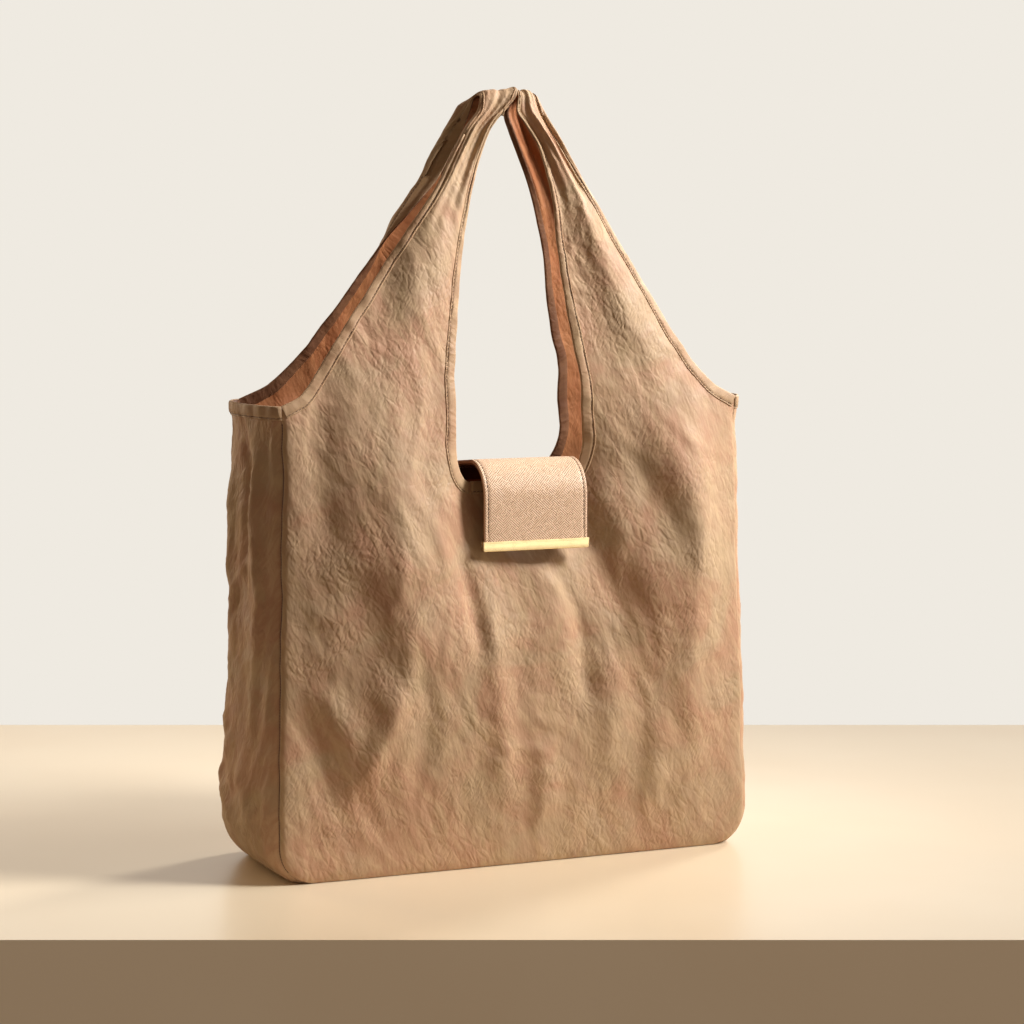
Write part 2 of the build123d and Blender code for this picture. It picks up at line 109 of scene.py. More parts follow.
# Leather wrap, flap and metal
wrap_box_low, wrap_box_high = box_mm("wrap_outer")
wrap_x = (wrap_box_low[0] + wrap_box_high[0]) / 2
wrap_half = (wrap_box_high[0] - wrap_box_low[0]) / 2
wrap_low_z, wrap_high_z = wrap_box_low[2], wrap_box_high[2]
magnet_low, magnet_high = box_mm("front_magnet")
magnet_z = (magnet_low[2] + magnet_high[2]) / 2
hook_box_low, hook_box_high = box_mm("hook_body")
hook_x = (hook_box_low[0] + hook_box_high[0]) / 2
hook_z = (hook_box_low[2] + box_mm("split_ring")[1][2]) / 2


# ---------------------------------------------------------------- small numeric helpers
def smooth(t, low, high):
    """0 below low, 1 above high, and a smooth rise between them."""
    s = np.clip((t - low) / (high - low), 0.0, 1.0)
    return s * s * (3 - 2 * s)


def softplus(t, width):
    return width * np.logaddexp(0.0, t / width)


def curve_through(pairs):
    """A smooth function z -> value through (value, z) pairs, without overshoot."""
    z = np.array([p[1] for p in pairs], float)
    value = np.array([p[0] for p in pairs], float)
    step = np.diff(z)
    slope = np.diff(value) / step
    product, total = slope[:-1] * slope[1:], slope[:-1] + slope[1:]
    inner = np.where(product > 0, 2 * product / np.where(total == 0, 1, total), 0.0)
    tangent = np.concatenate([[slope[0]], inner, [slope[-1]]])

    def at(height):
        height = np.clip(height, z[0], z[-1])
        i = np.clip(np.searchsorted(z, height) - 1, 0, len(step) - 1)
        t = (height - z[i]) / step[i]
        rise = value[i] * (1 + 2 * t) * (1 - t) ** 2 + value[i + 1] * t * t * (3 - 2 * t)
        return rise + step[i] * (tangent[i] * t * (1 - t) ** 2 - tangent[i + 1] * t * t * (1 - t))

    return at


def gradient_noise(u, v, seed):
    """Smooth noise of two coordinates, about -1 to 1, one bump per unit."""
    rng = np.random.default_rng(seed)
    order = rng.permutation(256)
    angles = rng.random(256) * 2 * math.pi
    iu, iv = np.floor(u).astype(int), np.floor(v).astype(int)
    fu, fv = u - iu, v - iv
    su, sv = fu**3 * (fu * (fu * 6 - 15) + 10), fv**3 * (fv * (fv * 6 - 15) + 10)

    def corner(du, dv):
        angle = angles[order[(order[(iu + du) % 256] + iv + dv) % 256]]
        return np.cos(angle) * (fu - du) + np.sin(angle) * (fv - dv)

    low = corner(0, 0) * (1 - su) + corner(1, 0) * su
    high = corner(0, 1) * (1 - su) + corner(1, 1) * su
    return 1.6 * (low * (1 - sv) + high * sv)


def crinkle(u, v, size, stretch, lean_deg, seed):
    """Crumpled ridges about size apart, stretched along a direction lean_deg off vertical."""
    a = math.radians(lean_deg)
    warp_u = gradient_noise(u / (3 * size), v / (3 * size), seed + 1)
    warp_v = gradient_noise(u / (3 * size), v / (3 * size), seed + 2)
    across = (u * math.cos(a) + v * math.sin(a)) / size + 0.9 * warp_u
    along = (v * math.cos(a) - u * math.sin(a)) / (size * stretch) + 0.9 * warp_v
    first = 1 - 2 * np.abs(gradient_noise(across, along, seed + 3))
    second = 1 - 2 * np.abs(gradient_noise(across * 1.9 + 7.3, along * 2.1, seed + 4))
    return 0.7 * first + 0.3 * second - 0.3


def resample(points, count=24):
    """Points along a smooth line through a few given points."""
    p = np.array(points, float)
    if len(p) == 2:
        return p[0] + np.linspace(0, 1, count)[:, None] * (p[1] - p[0])
    ends = np.vstack([2 * p[0] - p[1], p, 2 * p[-1] - p[-2]])
    t = np.linspace(0, len(p) - 1, count)
    i = np.clip(t.astype(int), 0, len(p) - 2)
    f = (t - i)[:, None]
    a, b, c, d = ends[i], ends[i + 1], ends[i + 2], ends[i + 3]
    return b + 0.5 * f * (c - a + f * (2 * a - 5 * b + 4 * c - d + f * (3 * (b - c) + d - a)))


def fold(u, v, height, left, right, points):
    """One soft fold along a line: height at its crest, a width on each side, tapering ends."""
    line = resample(points)
    best = np.full(u.shape, 1e9)
    side = np.zeros(u.shape)
    share = np.zeros(u.shape)
    for i in range(len(line) - 1):
        a, d = line[i], line[i + 1] - line[i]
        t = np.clip(((u - a[0]) * d[0] + (v - a[1]) * d[1]) / (d @ d), 0, 1)
        du, dv = u - a[0] - t * d[0], v - a[1] - t * d[1]
        distance = np.hypot(du, dv)
        near = distance < best
        best = np.where(near, distance, best)
        side = np.where(near, d[0] * dv - d[1] * du, side)
        share = np.where(near, (i + t) / (len(line) - 1), share)
    width = np.where(side > 0, right, left)
    taper = smooth(share, 0.0, 0.3) * (1 - smooth(share, 0.65, 1.0))
    return height * taper * np.exp(-((best / width) ** 2))


def folded(u, v, folds):
    return sum(fold(u, v, *values) for values in folds)


def crumpled(u, v, layers, seed):
    """Crinkles of several sizes: (height, size, stretch, lean in degrees) for each layer."""
    return sum(
        height * crinkle(u, v, size, stretch, lean_deg, seed + 10 * i)
        for i, (height, size, stretch, lean_deg) in enumerate(layers))


# ---------------------------------------------------------------- the bag's shape
armhole_half = {key: curve_through(pairs) for key, pairs in armhole_half_widths.items()}
neck_half = {key: curve_through(pairs) for key, pairs in neck_half_widths.items()}
loop_slope = (shoulder_depth / 2 - loop_corner_y) / (total_height - shoulder_height)
wall_slope = (base_depth - shoulder_depth) / 2 / shoulder_height
loop_angle = math.atan(loop_slope)
loop_turn = math.pi / 2 - loop_angle
bend_reach = loop_bend_radius * math.tan(loop_turn / 2)
bend_start = total_height - bend_reach * math.cos(loop_angle)
bend_end = bend_start + loop_bend_radius * loop_turn
bend_centre = (loop_corner_y - bend_reach, total_height - loop_bend_radius)
loop_top = bend_end + bend_centre[0]
shoulder_softness = 14.0


def lean(z):
    rise = np.clip((z - shoulder_height) / (total_height - shoulder_height), 0.0, None)
    return loop_lean * rise**1.5


def loops_meet(zeta):
    """Where the left loop ends and the right one begins; the left one reaches over at the top."""
    return lean(zeta) + 7.0 * smooth(zeta, 611, 629)


def profile(zeta):
    """The wall's side profile at height parameter zeta: half depth, height, and its normal."""
    z = np.minimum(zeta, bend_start)
    extra = loop_slope - wall_slope
    y = base_depth / 2 - wall_slope * z - extra * softplus(z - shoulder_height, shoulder_softness)
    share = 1 / (1 + np.exp(-np.clip((z - shoulder_height) / shoulder_softness, -40, 40)))
    angle = np.arctan(wall_slope + extra * share)
    turned = np.clip((zeta - bend_start) / loop_bend_radius, 0.0, loop_turn)
    angle = np.where(zeta > bend_start, loop_angle + turned, angle)
    last = np.clip(zeta - bend_end, 0.0, None)
    y = np.where(zeta > bend_start, bend_centre[0] + loop_bend_radius * np.cos(angle) - last, y)
    z = np.where(zeta > bend_start, bend_centre[1] + loop_bend_radius * np.sin(angle), z)
    return y, z, np.cos(angle), np.sin(angle)


def seam_half(z):
    """Half width at the side seams, with the rounded lower corners."""
    straight = base_width / 2 - (base_width / 2 - shoulder_half) * z / shoulder_height
    lift = np.clip((corner_radius - z) / corner_radius, 0.0, 1.0)
    return straight - corner_radius * (1 - np.sqrt(1 - lift**2))


def outer_edge(zeta, side, facing=FRONT):
    above = lean(zeta) + side * armhole_half[facing, side](zeta)
    return np.where(zeta > shoulder_height, above, side * seam_half(zeta))


def neck_edge(zeta, side, facing):
    """The neck's edge, or below it the line that carries on down through the panel."""
    flat, widest = neck_flat[facing, side], neck_half_widths[facing, side][0][0]
    lift = np.clip((neck_corner_top - zeta) / (neck_corner_top - neck_bottom), 0.0, 1.0)
    corner = flat + (widest - flat) * np.sqrt(1 - lift**2)
    half = np.where(zeta < neck_corner_top, corner, neck_half[facing, side](zeta))
    return lean(zeta) + side * half


def relief(across, up, rows):
    """A smooth surface over the panel through a few listed heights."""
    step, left, low, blur = 4.0, -220.0, -20.0, 5
    grid_x, grid_z = np.arange(left, 221, step), np.arange(low, 661, step)
    lines = np.stack([np.interp(grid_x, across, row) for row in rows])
    grid = np.stack([np.interp(grid_z, up, column) for column in lines.T], 1)
    for _ in range(blur):
        padded = np.pad(grid, 1, mode="edge")
        beside = padded[:-2, 1:-1] + padded[2:, 1:-1] + padded[1:-1, :-2] + padded[1:-1, 2:]
        grid = (beside + 4 * grid) / 8

    def at(x, z):
        u = np.clip((x - left) / step, 0, len(grid_x) - 1.001)
        v = np.clip((z - low) / step, 0, len(grid_z) - 1.001)
        iu, iv = u.astype(int), v.astype(int)
        fu, fv = u - iu, v - iv
        below = grid[iv, iu] * (1 - fu) + grid[iv, iu + 1] * fu
        above = grid[iv + 1, iu] * (1 - fu) + grid[iv + 1, iu + 1] * fu
        return below * (1 - fv) + above * fv

    return at


# The filled bag stands out in a wide ridge near each side, and sinks in under the flap
body_across = [-204, -150, -108, -66, -20, 20, 62, 105, 150, 204]
body_up = [0, 60, 120, 190, 250, 310, 370, 430]
front_body = relief(body_across, body_up, [
    [0, 0, 0, 0, 0, 0, 0, 0, 0, 0],
    [0, 5, 7, 7, 7, 7, 6, 6, 8, 0],
    [0, 10, 17, 15, 12, 11, 10, 11, 15, 0],
    [0, 14, 27, 23, 16, 12, 9, 13, 23, 0],
    [0, 15, 28, 20, 8, 7, 2, 12, 25, 0],
    [0, 13, 23, 12, -2, 0, -5, 8, 23, 0],
    [0, 7, 15, 11, 2, 2, -2, 8, 19, 2],
    [0, 0, 4, 6, 0, 0, 4, 6, 4, 0]])
back_body = relief(body_across, body_up, [
    [0, 0, 0, 0, 0, 0, 0, 0, 0, 0],
    [0, 9, 11, 10, 9, 9, 10, 11, 8, 0],
    [0, 12, 15, 12, 9, 10, 12, 15, 12, 0],
    [0, 14, 17, 11, 6, 6, 10, 16, 14, 0],
    [0, 13, 16, 9, 3, 3, 7, 14, 15, 0],
    [0, 11, 14, 7, 0, 0, 2, 11, 13, 0],
    [0, 7, 10, 7, 0, 0, 0, 8, 10, 0],
    [0, 2, 4, 4, 0, 0, 2, 5, 4, 0]])

front_folds = [
    # height, width left of the line, width right of it, and the line's points (x, z) going down
    (-5.0, 14, 16, [(-160, 425), (-172, 360), (-168, 300), (-160, 240)]),
    (3.6, 11, 11, [(-36, 240), (-29, 190), (-24, 135), (-20, 80), (-14, 40)]),
    (-5.0, 9, 8, [(-66, 292), (-54, 245), (-42, 200), (-36, 165)]),
    (5.0, 16, 38, [(66, 330), (84, 290), (108, 232), (128, 160)]),
    (-3.5, 14, 12, [(54, 290), (76, 238), (98, 180)]),
    (5.0, 18, 32, [(112, 376), (136, 320), (160, 250), (174, 180)]),
    (-3.0, 16, 14, [(92, 345), (118, 298), (144, 240)]),
    (3.0, 22, 12, [(14, 262), (28, 205), (44, 130)]),
    (-3.4, 8, 9, [(46, 220), (52, 170), (56, 120)]),
    (3.6, 13, 14, [(70, 190), (76, 120), (78, 40)]),
    (3.0, 12, 12, [(112, 130), (118, 80), (116, 20)]),
    (3.6, 14, 10, [(-112, 170), (-124, 120), (-140, 60)]),
    (-3.0, 10, 10, [(-92, 190), (-88, 120), (-98, 50)]),
    (3.6, 12, 12, [(-196, 165), (-172, 145), (-150, 120), (-140, 80)]),
    (3.6, 10, 12, [(-100, 165), (-118, 130), (-138, 90), (-150, 60)]),
    (3.0, 9, 12, [(10, 110), (16, 70), (18, 20)]),
    (-3.5, 12, 14, [(-188, 150), (-176, 100), (-168, 50)]),
    (-4.0, 16, 16, [(-150, 260), (-134, 210), (-126, 150)]),
    (3.4, 20, 26, [(-46, 590), (-64, 510), (-80, 430), (-92, 340)]),
    (-2.4, 14, 12, [(-84, 540), (-112, 460), (-134, 400)]),
    (3.6, 14, 24, [(56, 580), (84, 500), (112, 430), (140, 360)]),
    (-2.6, 12, 14, [(58, 540), (70, 460), (84, 380)]),
]
back_folds = [
    (-4.5, 16, 18, [(-150, 400), (-160, 330), (-150, 240)]),
    (4.0, 26, 22, [(-120, 390), (-116, 300), (-92, 220), (-80, 120)]),
    (6.5, 20, 34, [(-70, 350), (-70, 260), (-52, 170), (-44, 70)]),
    (6.0, 15, 30, [(76, 350), (84, 280), (102, 200), (110, 110)]),
    (-3.5, 12, 12, [(66, 300), (70, 220), (84, 150)]),
    (4.0, 24, 20, [(126, 440), (140, 360), (132, 260), (128, 120)]),
    (4.0, 16, 12, [(-6, 190), (4, 130), (2, 50)]),
    (3.4, 14, 12, [(44, 180), (50, 110), (40, 30)]),
    (-3.0, 12, 12, [(-176, 240), (-166, 170), (-170, 90)]),
    (3.0, 12, 14, [(-70, 540), (-88, 470), (-100, 390)]),
    (3.0, 12, 14, [(92, 540), (110, 470), (130, 400)]),
]


panel_crinkles = [(1.3, 30, 3.4, 14), (0.42, 13, 2.4, 26), (0.2, 6.6, 1.8, 30)]
gusset_crinkles = [(1.6, 30, 2.2, 18), (0.8, 14, 1.8, 24), (0.3, 7, 1.5, 20)]


def strap_share(x, zeta, facing):
    """0 at the armhole's edge of a strap and 1 at its neck edge."""
    left, right = ((x - outer_edge(zeta, side, facing)) / (
        neck_edge(zeta, side, facing) - outer_edge(zeta, side, facing)) for side in (LEFT, RIGHT))
    return np.where(x < loops_meet(zeta), left, right)


def seam_pinch(x, zeta):
    """1 on a side seam, fading to 0 within a few millimetres and under the hem."""
    to_seam = seam_half(np.minimum(zeta, shoulder_height)) - np.abs(x)
    reach, hem_fade = 2.6, 24
    below_hem = 1 - smooth(zeta, shoulder_height - hem_fade, shoulder_height)
    return np.exp(-np.clip(to_seam, 0, None) / reach) * below_hem


def beside_flap(x, zeta):
    """1 where the front sinks in at both sides of the flap."""
    middle_x, apart, width = 4, 48, 15
    across = np.exp(-((np.abs(x - middle_x) - apart) / width) ** 2)
    return across * smooth(zeta, 240, 285) * (1 - smooth(zeta, 330, 392))


def strap_pleats(share, side, zeta):
    """Wide and narrow pleats, from -1 to 1, that run along a gathered strap."""
    wide = np.cos(2 * math.pi * (1.6 * share + 0.12 * np.sin(zeta / 34) + 0.3 * side))
    narrow = np.cos(2 * math.pi * (3.8 * share + 0.3 * np.sin(zeta / 27) + 0.2 * side))
    return wide, narrow


def top_height(share, side, wide, narrow):
    """Height over the top of a loop, where front and back are sewn together."""
    outer_share, rise, drop, overlap = 0.45, 3.2, 4.0, 0.9
    outward = np.clip(outer_share - np.clip(share, 0, 1), 0, None) / outer_share
    dome = rise - drop * outward**2.2 + 0.4 * smooth(share, 0.5, 1.0)
    over = np.where(side == LEFT, overlap, -overlap) * smooth(share, 0.6, 1.0)
    return dome + 0.6 * wide + 0.4 * narrow + over


def cloth_height(x, zeta, facing):
    """How far the cloth stands out from the wall's plain profile."""
    strap_crown, flap_dip, seam_tuck, base_tuck = 7.0, 6.0, 5.0, 3.2
    seed = 11 if facing == FRONT else 61
    side = np.where(x < loops_meet(zeta), LEFT, RIGHT)
    share = strap_share(x, zeta, facing)
    low_part = 1 - smooth(zeta, 300, 420)
    belly = (front_body if facing == FRONT else back_body)(x, zeta)
    crown = strap_crown * np.sin(math.pi * np.clip(share, 0, 1))
    crown = crown * (1 - 0.75 * smooth(zeta, 480, 620))
    height = belly * low_part + crown * (1 - low_part)
    height = height + folded(x, zeta, front_folds if facing == FRONT else back_folds)
    if facing == FRONT:
        height = height - flap_dip * beside_flap(x, zeta)
    gather = smooth(zeta, 480, 600)
    wide, narrow = strap_pleats(share, side, zeta)
    height = height + gather * (2.4 * wide + 0.9 * narrow)
    height = height + (1 - 0.55 * gather) * crumpled(x, zeta, panel_crinkles, seed)
    joined = smooth(zeta, 596, loop_top - 1)
    height = height * (1 - joined) + joined * top_height(share, side, wide, narrow)
    # the cloth is held at its side seams, and tucks in there and along the base seam
    half = np.maximum(seam_half(np.minimum(zeta, shoulder_height)), 1.0)
    to_seam = np.clip(half - np.abs(x), 0, None)
    held = 1 - np.exp(-to_seam / 16.0) * (1 - smooth(zeta, 380, 430))
    height = height * held * (1 - 0.8 * np.exp(-zeta / 22.0))
    height = height - seam_tuck * seam_pinch(x, zeta) - base_tuck * np.exp(-zeta / 5.0)
    return height * (1 - stiff_area(x, zeta, facing))


def stiff_area(x, zeta, facing):
    """1 where the cloth is held flat by what is sewn to it or hangs on it, 0 away from there."""
    if facing == FRONT:
        flat_reach, faded_reach = 17, 32
        return 1 - smooth(np.hypot(x - wrap_x, zeta - magnet_z), flat_reach, faded_reach)
    flat_margin, faded_margin = 1, 26
    across = 1 - smooth(np.abs(x - wrap_x), wrap_half + flat_margin, wrap_half + faded_margin)
    below = smooth(zeta, wrap_low_z - faded_margin, wrap_low_z - flat_margin)
    above = 1 - smooth(zeta, neck_bottom + 14, neck_corner_top + 2)
    bed_half_width, bed_half_height, bed_flatness = 16, 42, 0.86
    from_hook = np.hypot((x - hook_x) / bed_half_width, (zeta - hook_z) / bed_half_height)
    return np.maximum(across * (below * above), bed_flatness * (1 - smooth(from_hook, 1.0, 3.0)))


def cloth_shift(x, zeta, facing):
    """Sideways drift of the cloth, so that seams and edges aren't ruler straight."""
    seed = 31 if facing == FRONT else 81
    slow = gradient_noise(x / 90, zeta / 70, seed)
    quick = gradient_noise(x / 40, zeta / 24, seed + 1)
    amount = smooth(zeta, 10, 70) * (1 - 0.7 * smooth(zeta, 420, 560)) * (1 - smooth(zeta, 596, 630))
    seam_in = 2.6
    inward = -seam_in * np.sign(x) * seam_pinch(x, zeta)
    return amount * (1.6 * slow + 0.9 * quick) + inward


def roll_back_left(point, x, zeta):
    """High up, the back left strap curls round to the left, so its outer face shows there."""
    share = np.clip(strap_share(x, zeta, BACK), 0, 1)
    width = neck_edge(zeta, LEFT, BACK) - outer_edge(zeta, LEFT, BACK)
    here = (x < loops_meet(zeta)) * (1 - smooth(zeta, 618, loop_top - 1))
    reach = np.interp(zeta, [480, 515, 550, 575, 600, 622, 640], [0, 3, 12, 15, 13, 8, 0])
    bulge = np.sin(math.pi * np.clip(share / 0.82, 0, 1)) ** 1.2
    forward = 0.8 * profile(zeta)[0] * smooth(zeta, 480, 545) * (1 - smooth(share, 0.0, 0.5))
    point[..., 0] -= here * ((reach + 0.42 * width * smooth(zeta, 480, 530)) * bulge + 0.39 * forward)
    point[..., 1] -= here * forward
    return point


def wall_point(x, zeta, facing):
    """A point of the front or back cloth, in millimetres."""
    x, zeta = np.asarray(x, float), np.asarray(zeta, float)
    y, z, ny, nz = profile(zeta)
    height = cloth_height(x, zeta, facing)
    point = np.stack([
        x + cloth_shift(x, zeta, facing),
        facing * (y + ny * height),
        np.maximum(z + nz * height, ground)], -1)
    return roll_back_left(point, x, zeta) if facing == BACK else point


# ---------------------------------------------------------------- mesh making
collection = bpy.context.scene.collection


def link(obj):
    collection.objects.link(obj)
    return obj


def make_mesh(name, points, faces, materials, face_material=None, uv=None):
    """A smooth-shaded mesh object from points in millimetres."""
    mesh = bpy.data.meshes.new(name)
    mesh.from_pydata((np.asarray(points) * MM).tolist(), [], [list(map(int, f)) for f in faces])
    for m in materials:
        mesh.materials.append(m)
    if face_material is not None:
        mesh.polygons.foreach_set("material_index", np.asarray(face_material, np.int32))
    mesh.polygons.foreach_set("use_smooth", np.ones(len(mesh.polygons), bool))
    if uv is not None:
        layer = mesh.uv_layers.new(name="Flat")
        corner = np.zeros(len(mesh.loops), np.int32)
        mesh.loops.foreach_get("vertex_index", corner)
        layer.data.foreach_set("uv", (np.asarray(uv, float) * MM)[corner].astype(np.float32).ravel())
    mesh.validate()
    mesh.update()
    return link(bpy.data.objects.new(name, mesh))


def vertex_normals(points, quads):
    a, b, c, d = (points[quads[:, i]] for i in range(4))
    face = np.cross(c - a, d - b)
    normals = np.zeros_like(points)
    for i in range(4):
        np.add.at(normals, quads[:, i], face)
    return normals / np.maximum(np.linalg.norm(normals, axis=1), 1e-9)[:, None]


def border_edges(quads):
    """Directed edges that only one face uses."""
    edges = np.vstack([quads[:, [i, (i + 1) % 4]] for i in range(4)])
    count = int(edges.max()) + 1
    forward = edges[:, 0] * count + edges[:, 1]
    backward = edges[:, 1] * count + edges[:, 0]
    return edges[~np.isin(forward, backward)]


def make_shell(name, points, quads, gauge, materials, uv):
    """A closed thin sheet: outer face, inner face with the second material, and its rim."""
    points, quads = np.asarray(points, float), np.asarray(quads, int)
    normals = vertex_normals(points, quads)
    count = len(points)
    inner = points - normals * gauge
    inner[:, 2] = np.maximum(inner[:, 2], 0.2)
    rim = border_edges(quads)
    rim_faces = np.stack([rim[:, 1], rim[:, 0], rim[:, 0] + count, rim[:, 1] + count], -1)
    faces = np.vstack([quads, quads[:, ::-1] + count, rim_faces])
    index = np.concatenate([
        np.zeros(len(quads), int), np.ones(len(quads), int), np.zeros(len(rim_faces), int)])
    return make_mesh(
        name, np.vstack([points, inner]), faces, materials, index, np.vstack([uv, uv]))


def grid_quads(rows, columns, flip=False):
    index = np.arange(rows * columns).reshape(rows, columns)
    quads = np.stack([
        index[:-1, :-1], index[:-1, 1:], index[1:, 1:], index[1:, :-1]], -1).reshape(-1, 4)
    return quads[:, ::-1] if flip else quads


def weld(points, quads, uv):
    """Merge points that lie in the same place."""
    key = np.round(points / 0.001).astype(np.int64)
    _, first, back = np.unique(key, axis=0, return_index=True, return_inverse=True)
    back = back.reshape(-1)
    return points[first], back[quads], uv[first]


# ---------------------------------------------------------------- materials
class Material:
    """A procedural material around one Principled shader."""

    def __init__(self, name, color, roughness, **values):
        self.material = bpy.data.materials.new(name)
        self.material.use_nodes = True
        self.tree = self.material.node_tree
        self.shader = self.tree.nodes["Principled BSDF"]
        self.shader.inputs["Base Color"].default_value = (*color, 1)
        self.shader.inputs["Roughness"].default_value = roughness
        for key, value in values.items():
            self.shader.inputs[key.replace("_", " ")].default_value = value

    def node(self, kind, inputs=None, **settings):
        node = self.tree.nodes.new("ShaderNode" + kind)
        for key, value in settings.items():
            setattr(node, key, value)
        for key, value in (inputs or {}).items():
            if isinstance(value, bpy.types.NodeSocket):
                self.tree.links.new(value, node.inputs[key])
            else:
                node.inputs[key].default_value = value
        return node

    def flat(self, scale, turn=0.0):
        """Flat-cloth coordinates, scaled to bumps per metre and turned by degrees."""
        uv = self.node("UVMap", uv_map="Flat")
        return self.mapped(uv.outputs["UV"], scale, turn)

    def solid(self, scale):
        """The object's own coordinates, for pieces with no flat layout."""
        place = self.node("TexCoord")
        return self.mapped(place.outputs["Object"], scale)

    def mapped(self, vector, scale, turn=0.0):
        scale = scale if hasattr(scale, "__len__") else (scale,) * 3
        node = self.node("Mapping", {
            "Vector": vector, "Scale": tuple(1 / s for s in scale),
            "Rotation": (0, 0, math.radians(turn))}, vector_type="TEXTURE")
        return node.outputs["Vector"]

    def noise(self, vector, detail, rough=0.5, warp=0.0):
        node = self.node("TexNoise", {
            "Vector": vector, "Scale": 1.0, "Detail": detail, "Roughness": rough,
            "Distortion": warp})
        return node.outputs[0]

    def maths(self, operation, first, second):
        return self.node("Math", {0: first, 1: second}, operation=operation).outputs[0]

    def span(self, value, low, high, to_low=0.0, to_high=1.0):
        return self.node("MapRange", {
            "Value": value, "From Min": low, "From Max": high,
            "To Min": to_low, "To Max": to_high}, interpolation_type="SMOOTHSTEP").outputs[0]

    def mix(self, share, first, second, blend="MIX"):
        node = self.node("Mix", data_type="RGBA", blend_type=blend)
        for key, value in ((0, share), (6, first), (7, second)):
            if isinstance(value, bpy.types.NodeSocket):
                self.tree.links.new(value, node.inputs[key])
            elif key == 0:
                node.inputs[key].default_value = value
            else:
                node.inputs[key].default_value = (*value, 1)
        return node.outputs[2]

    def color(self, socket):
        self.tree.links.new(socket, self.shader.inputs["Base Color"])

    def roughness(self, share, low, high, rough, rougher):
        """Roughness that rises from rough to rougher while share goes from low to high."""
        socket = self.span(share, low, high, rough, rougher)
        self.tree.links.new(socket, self.shader.inputs["Roughness"])

    def facets(self, place, scale, turn, depth, strength, below=None, creased=False):
        """Crumpled facets, bent by noise: pointed ones, or flat ones with creases between them."""
        across = self.mapped(place, scale, turn)
        bend = self.node("TexNoise", {"Vector": across, "Scale": 0.6, "Detail": 2.0})
        shifted = self.node("VectorMath", {0: across, 1: bend.outputs["Color"]})
        cells = self.node(
            "TexVoronoi", {"Vector": shifted.outputs[0], "Scale": 1.0},
            voronoi_dimensions="2D", feature="DISTANCE_TO_EDGE" if creased else "F1")
        height = cells.outputs["Distance"]
        if creased:
            height = self.span(height, 0.0, 0.32)
        return self.bump(height, strength, depth, below)

    def bump(self, height, strength, distance, below=None):
        inputs = {"Height": height, "Strength": strength, "Distance": distance}
        if below is not None:
            inputs["Normal"] = below
        node = self.node("Bump", inputs)
        self.tree.links.new(node.outputs[0], self.shader.inputs["Normal"])
        return node.outputs[0]


def srgb(r, g, b):
    """A linear colour from 0-255 screen values."""
    def channel(value):
        value = value / 255
        return value / 12.92 if value <= 0.04045 else ((value + 0.055) / 1.055) ** 2.4
    return tuple(channel(v) for v in (r, g, b))


def shade(color, factor):
    return tuple(factor * c for c in color)


def taffeta(name, base, warm, pale, roughness, sheen):
    """Crinkled nylon taffeta: sharp little facets, a fine weave and patchy colour."""
    made = Material(name, base, roughness, Sheen_Weight=sheen, Sheen_Roughness=0.45)
    made.shader.inputs["Sheen Tint"].default_value = (*pale, 1)
    made.shader.inputs["Specular IOR Level"].default_value = 0.22
    place = made.flat(1)
    patches = made.span(made.noise(made.mapped(place, 14), 4, 0.55, 0.8), 0.36, 0.64)
    streaks = made.span(made.noise(made.mapped(place, (90, 26, 1), 26), 4, 0.65, 1.0), 0.4, 0.66)
    olive = made.span(made.noise(made.mapped(place, (30, 16, 1), -15), 4, 0.6, 0.8), 0.5, 0.7)
    tone = made.mix(patches, base, warm)
    tone = made.mix(made.maths("MULTIPLY", streaks, 0.4), tone, pale)
    greener = (base[0] * 0.8, base[1] * 0.86, base[2] * 0.7)
    tone = made.mix(made.maths("MULTIPLY", olive, 0.3), tone, greener)
    weave = made.noise(made.mapped(place, 2600), 1, 0.4)
    tone = made.mix(made.span(weave, 0.3, 0.7, 0.0, 0.12), tone, shade(base, 0.5))
    made.color(tone)
    worn = made.noise(made.mapped(place, 40), 2)
    made.roughness(worn, 0.3, 0.7, roughness - 0.07, roughness + 0.08)
    # each layer of facets lies on the one before, and most fade out in calmer patches
    calm = made.span(made.noise(made.mapped(place, (24, 13, 1), 20), 4, 0.6), 0.4, 0.62, 0.16, 1.0)
    other = made.span(made.noise(made.mapped(place, (15, 19, 1), 40), 3, 0.6), 0.44, 0.58, 0.1, 1.0)
    broad, creased = made.maths("MULTIPLY", calm, 0.13), made.maths("MULTIPLY", calm, 0.22)
    crossed = made.maths("MULTIPLY", other, 0.22)
    lower = made.facets(place, (64, 36, 1), 20, 0.0046, broad)
    lower = made.facets(place, (170, 84, 1), 30, 0.0011, creased, lower, True)
    lower = made.facets(place, (230, 104, 1), -30, 0.0009, crossed, lower, True)
    lower = made.facets(place, (350, 140, 1), 14, 0.0007, 0.22, lower)
    made.bump(weave, 0.25, 0.00008, lower)
    return made.material


def leather(name, base, groove, spacing):
    """Pressed leather: patches of fine slanting lines, spacing millimetres apart."""
    made = Material(name, base, 0.5, Specular_IOR_Level=0.4)
    hatches = []
    for turn in (47, -46):
        lines = made.node("TexWave", {
            "Vector": made.flat(1000, turn), "Scale": 0.314 / spacing, "Distortion": 1.6,
            "Detail": 2.0, "Detail Scale": 0.6})
        hatches.append(lines.outputs["Fac"])
    patch = made.span(made.noise(made.flat(150), 2, 0.6), 0.44, 0.56)
    hatch = made.node("Mix", {0: patch, 2: hatches[0], 3: hatches[1]}).outputs[0]
    worn = made.noise(made.flat((420, 420, 1)), 2)
    raised = made.span(made.maths("ADD", hatch, made.maths("SUBTRACT", worn, 0.5)), 0.12, 0.7)
    paler = made.span(made.noise(made.flat(60), 3), 0.4, 0.7, 0.0, 0.5)
    # The pressed grooves take the darker groove colour: painted shade in the hatch lines.
    made.color(made.mix(raised, groove, made.mix(paler, base, shade(base, 1.12))))
    made.roughness(raised, 0, 1, 0.66, 0.44)
    made.bump(raised, 0.55, 0.00022)
    return made.material


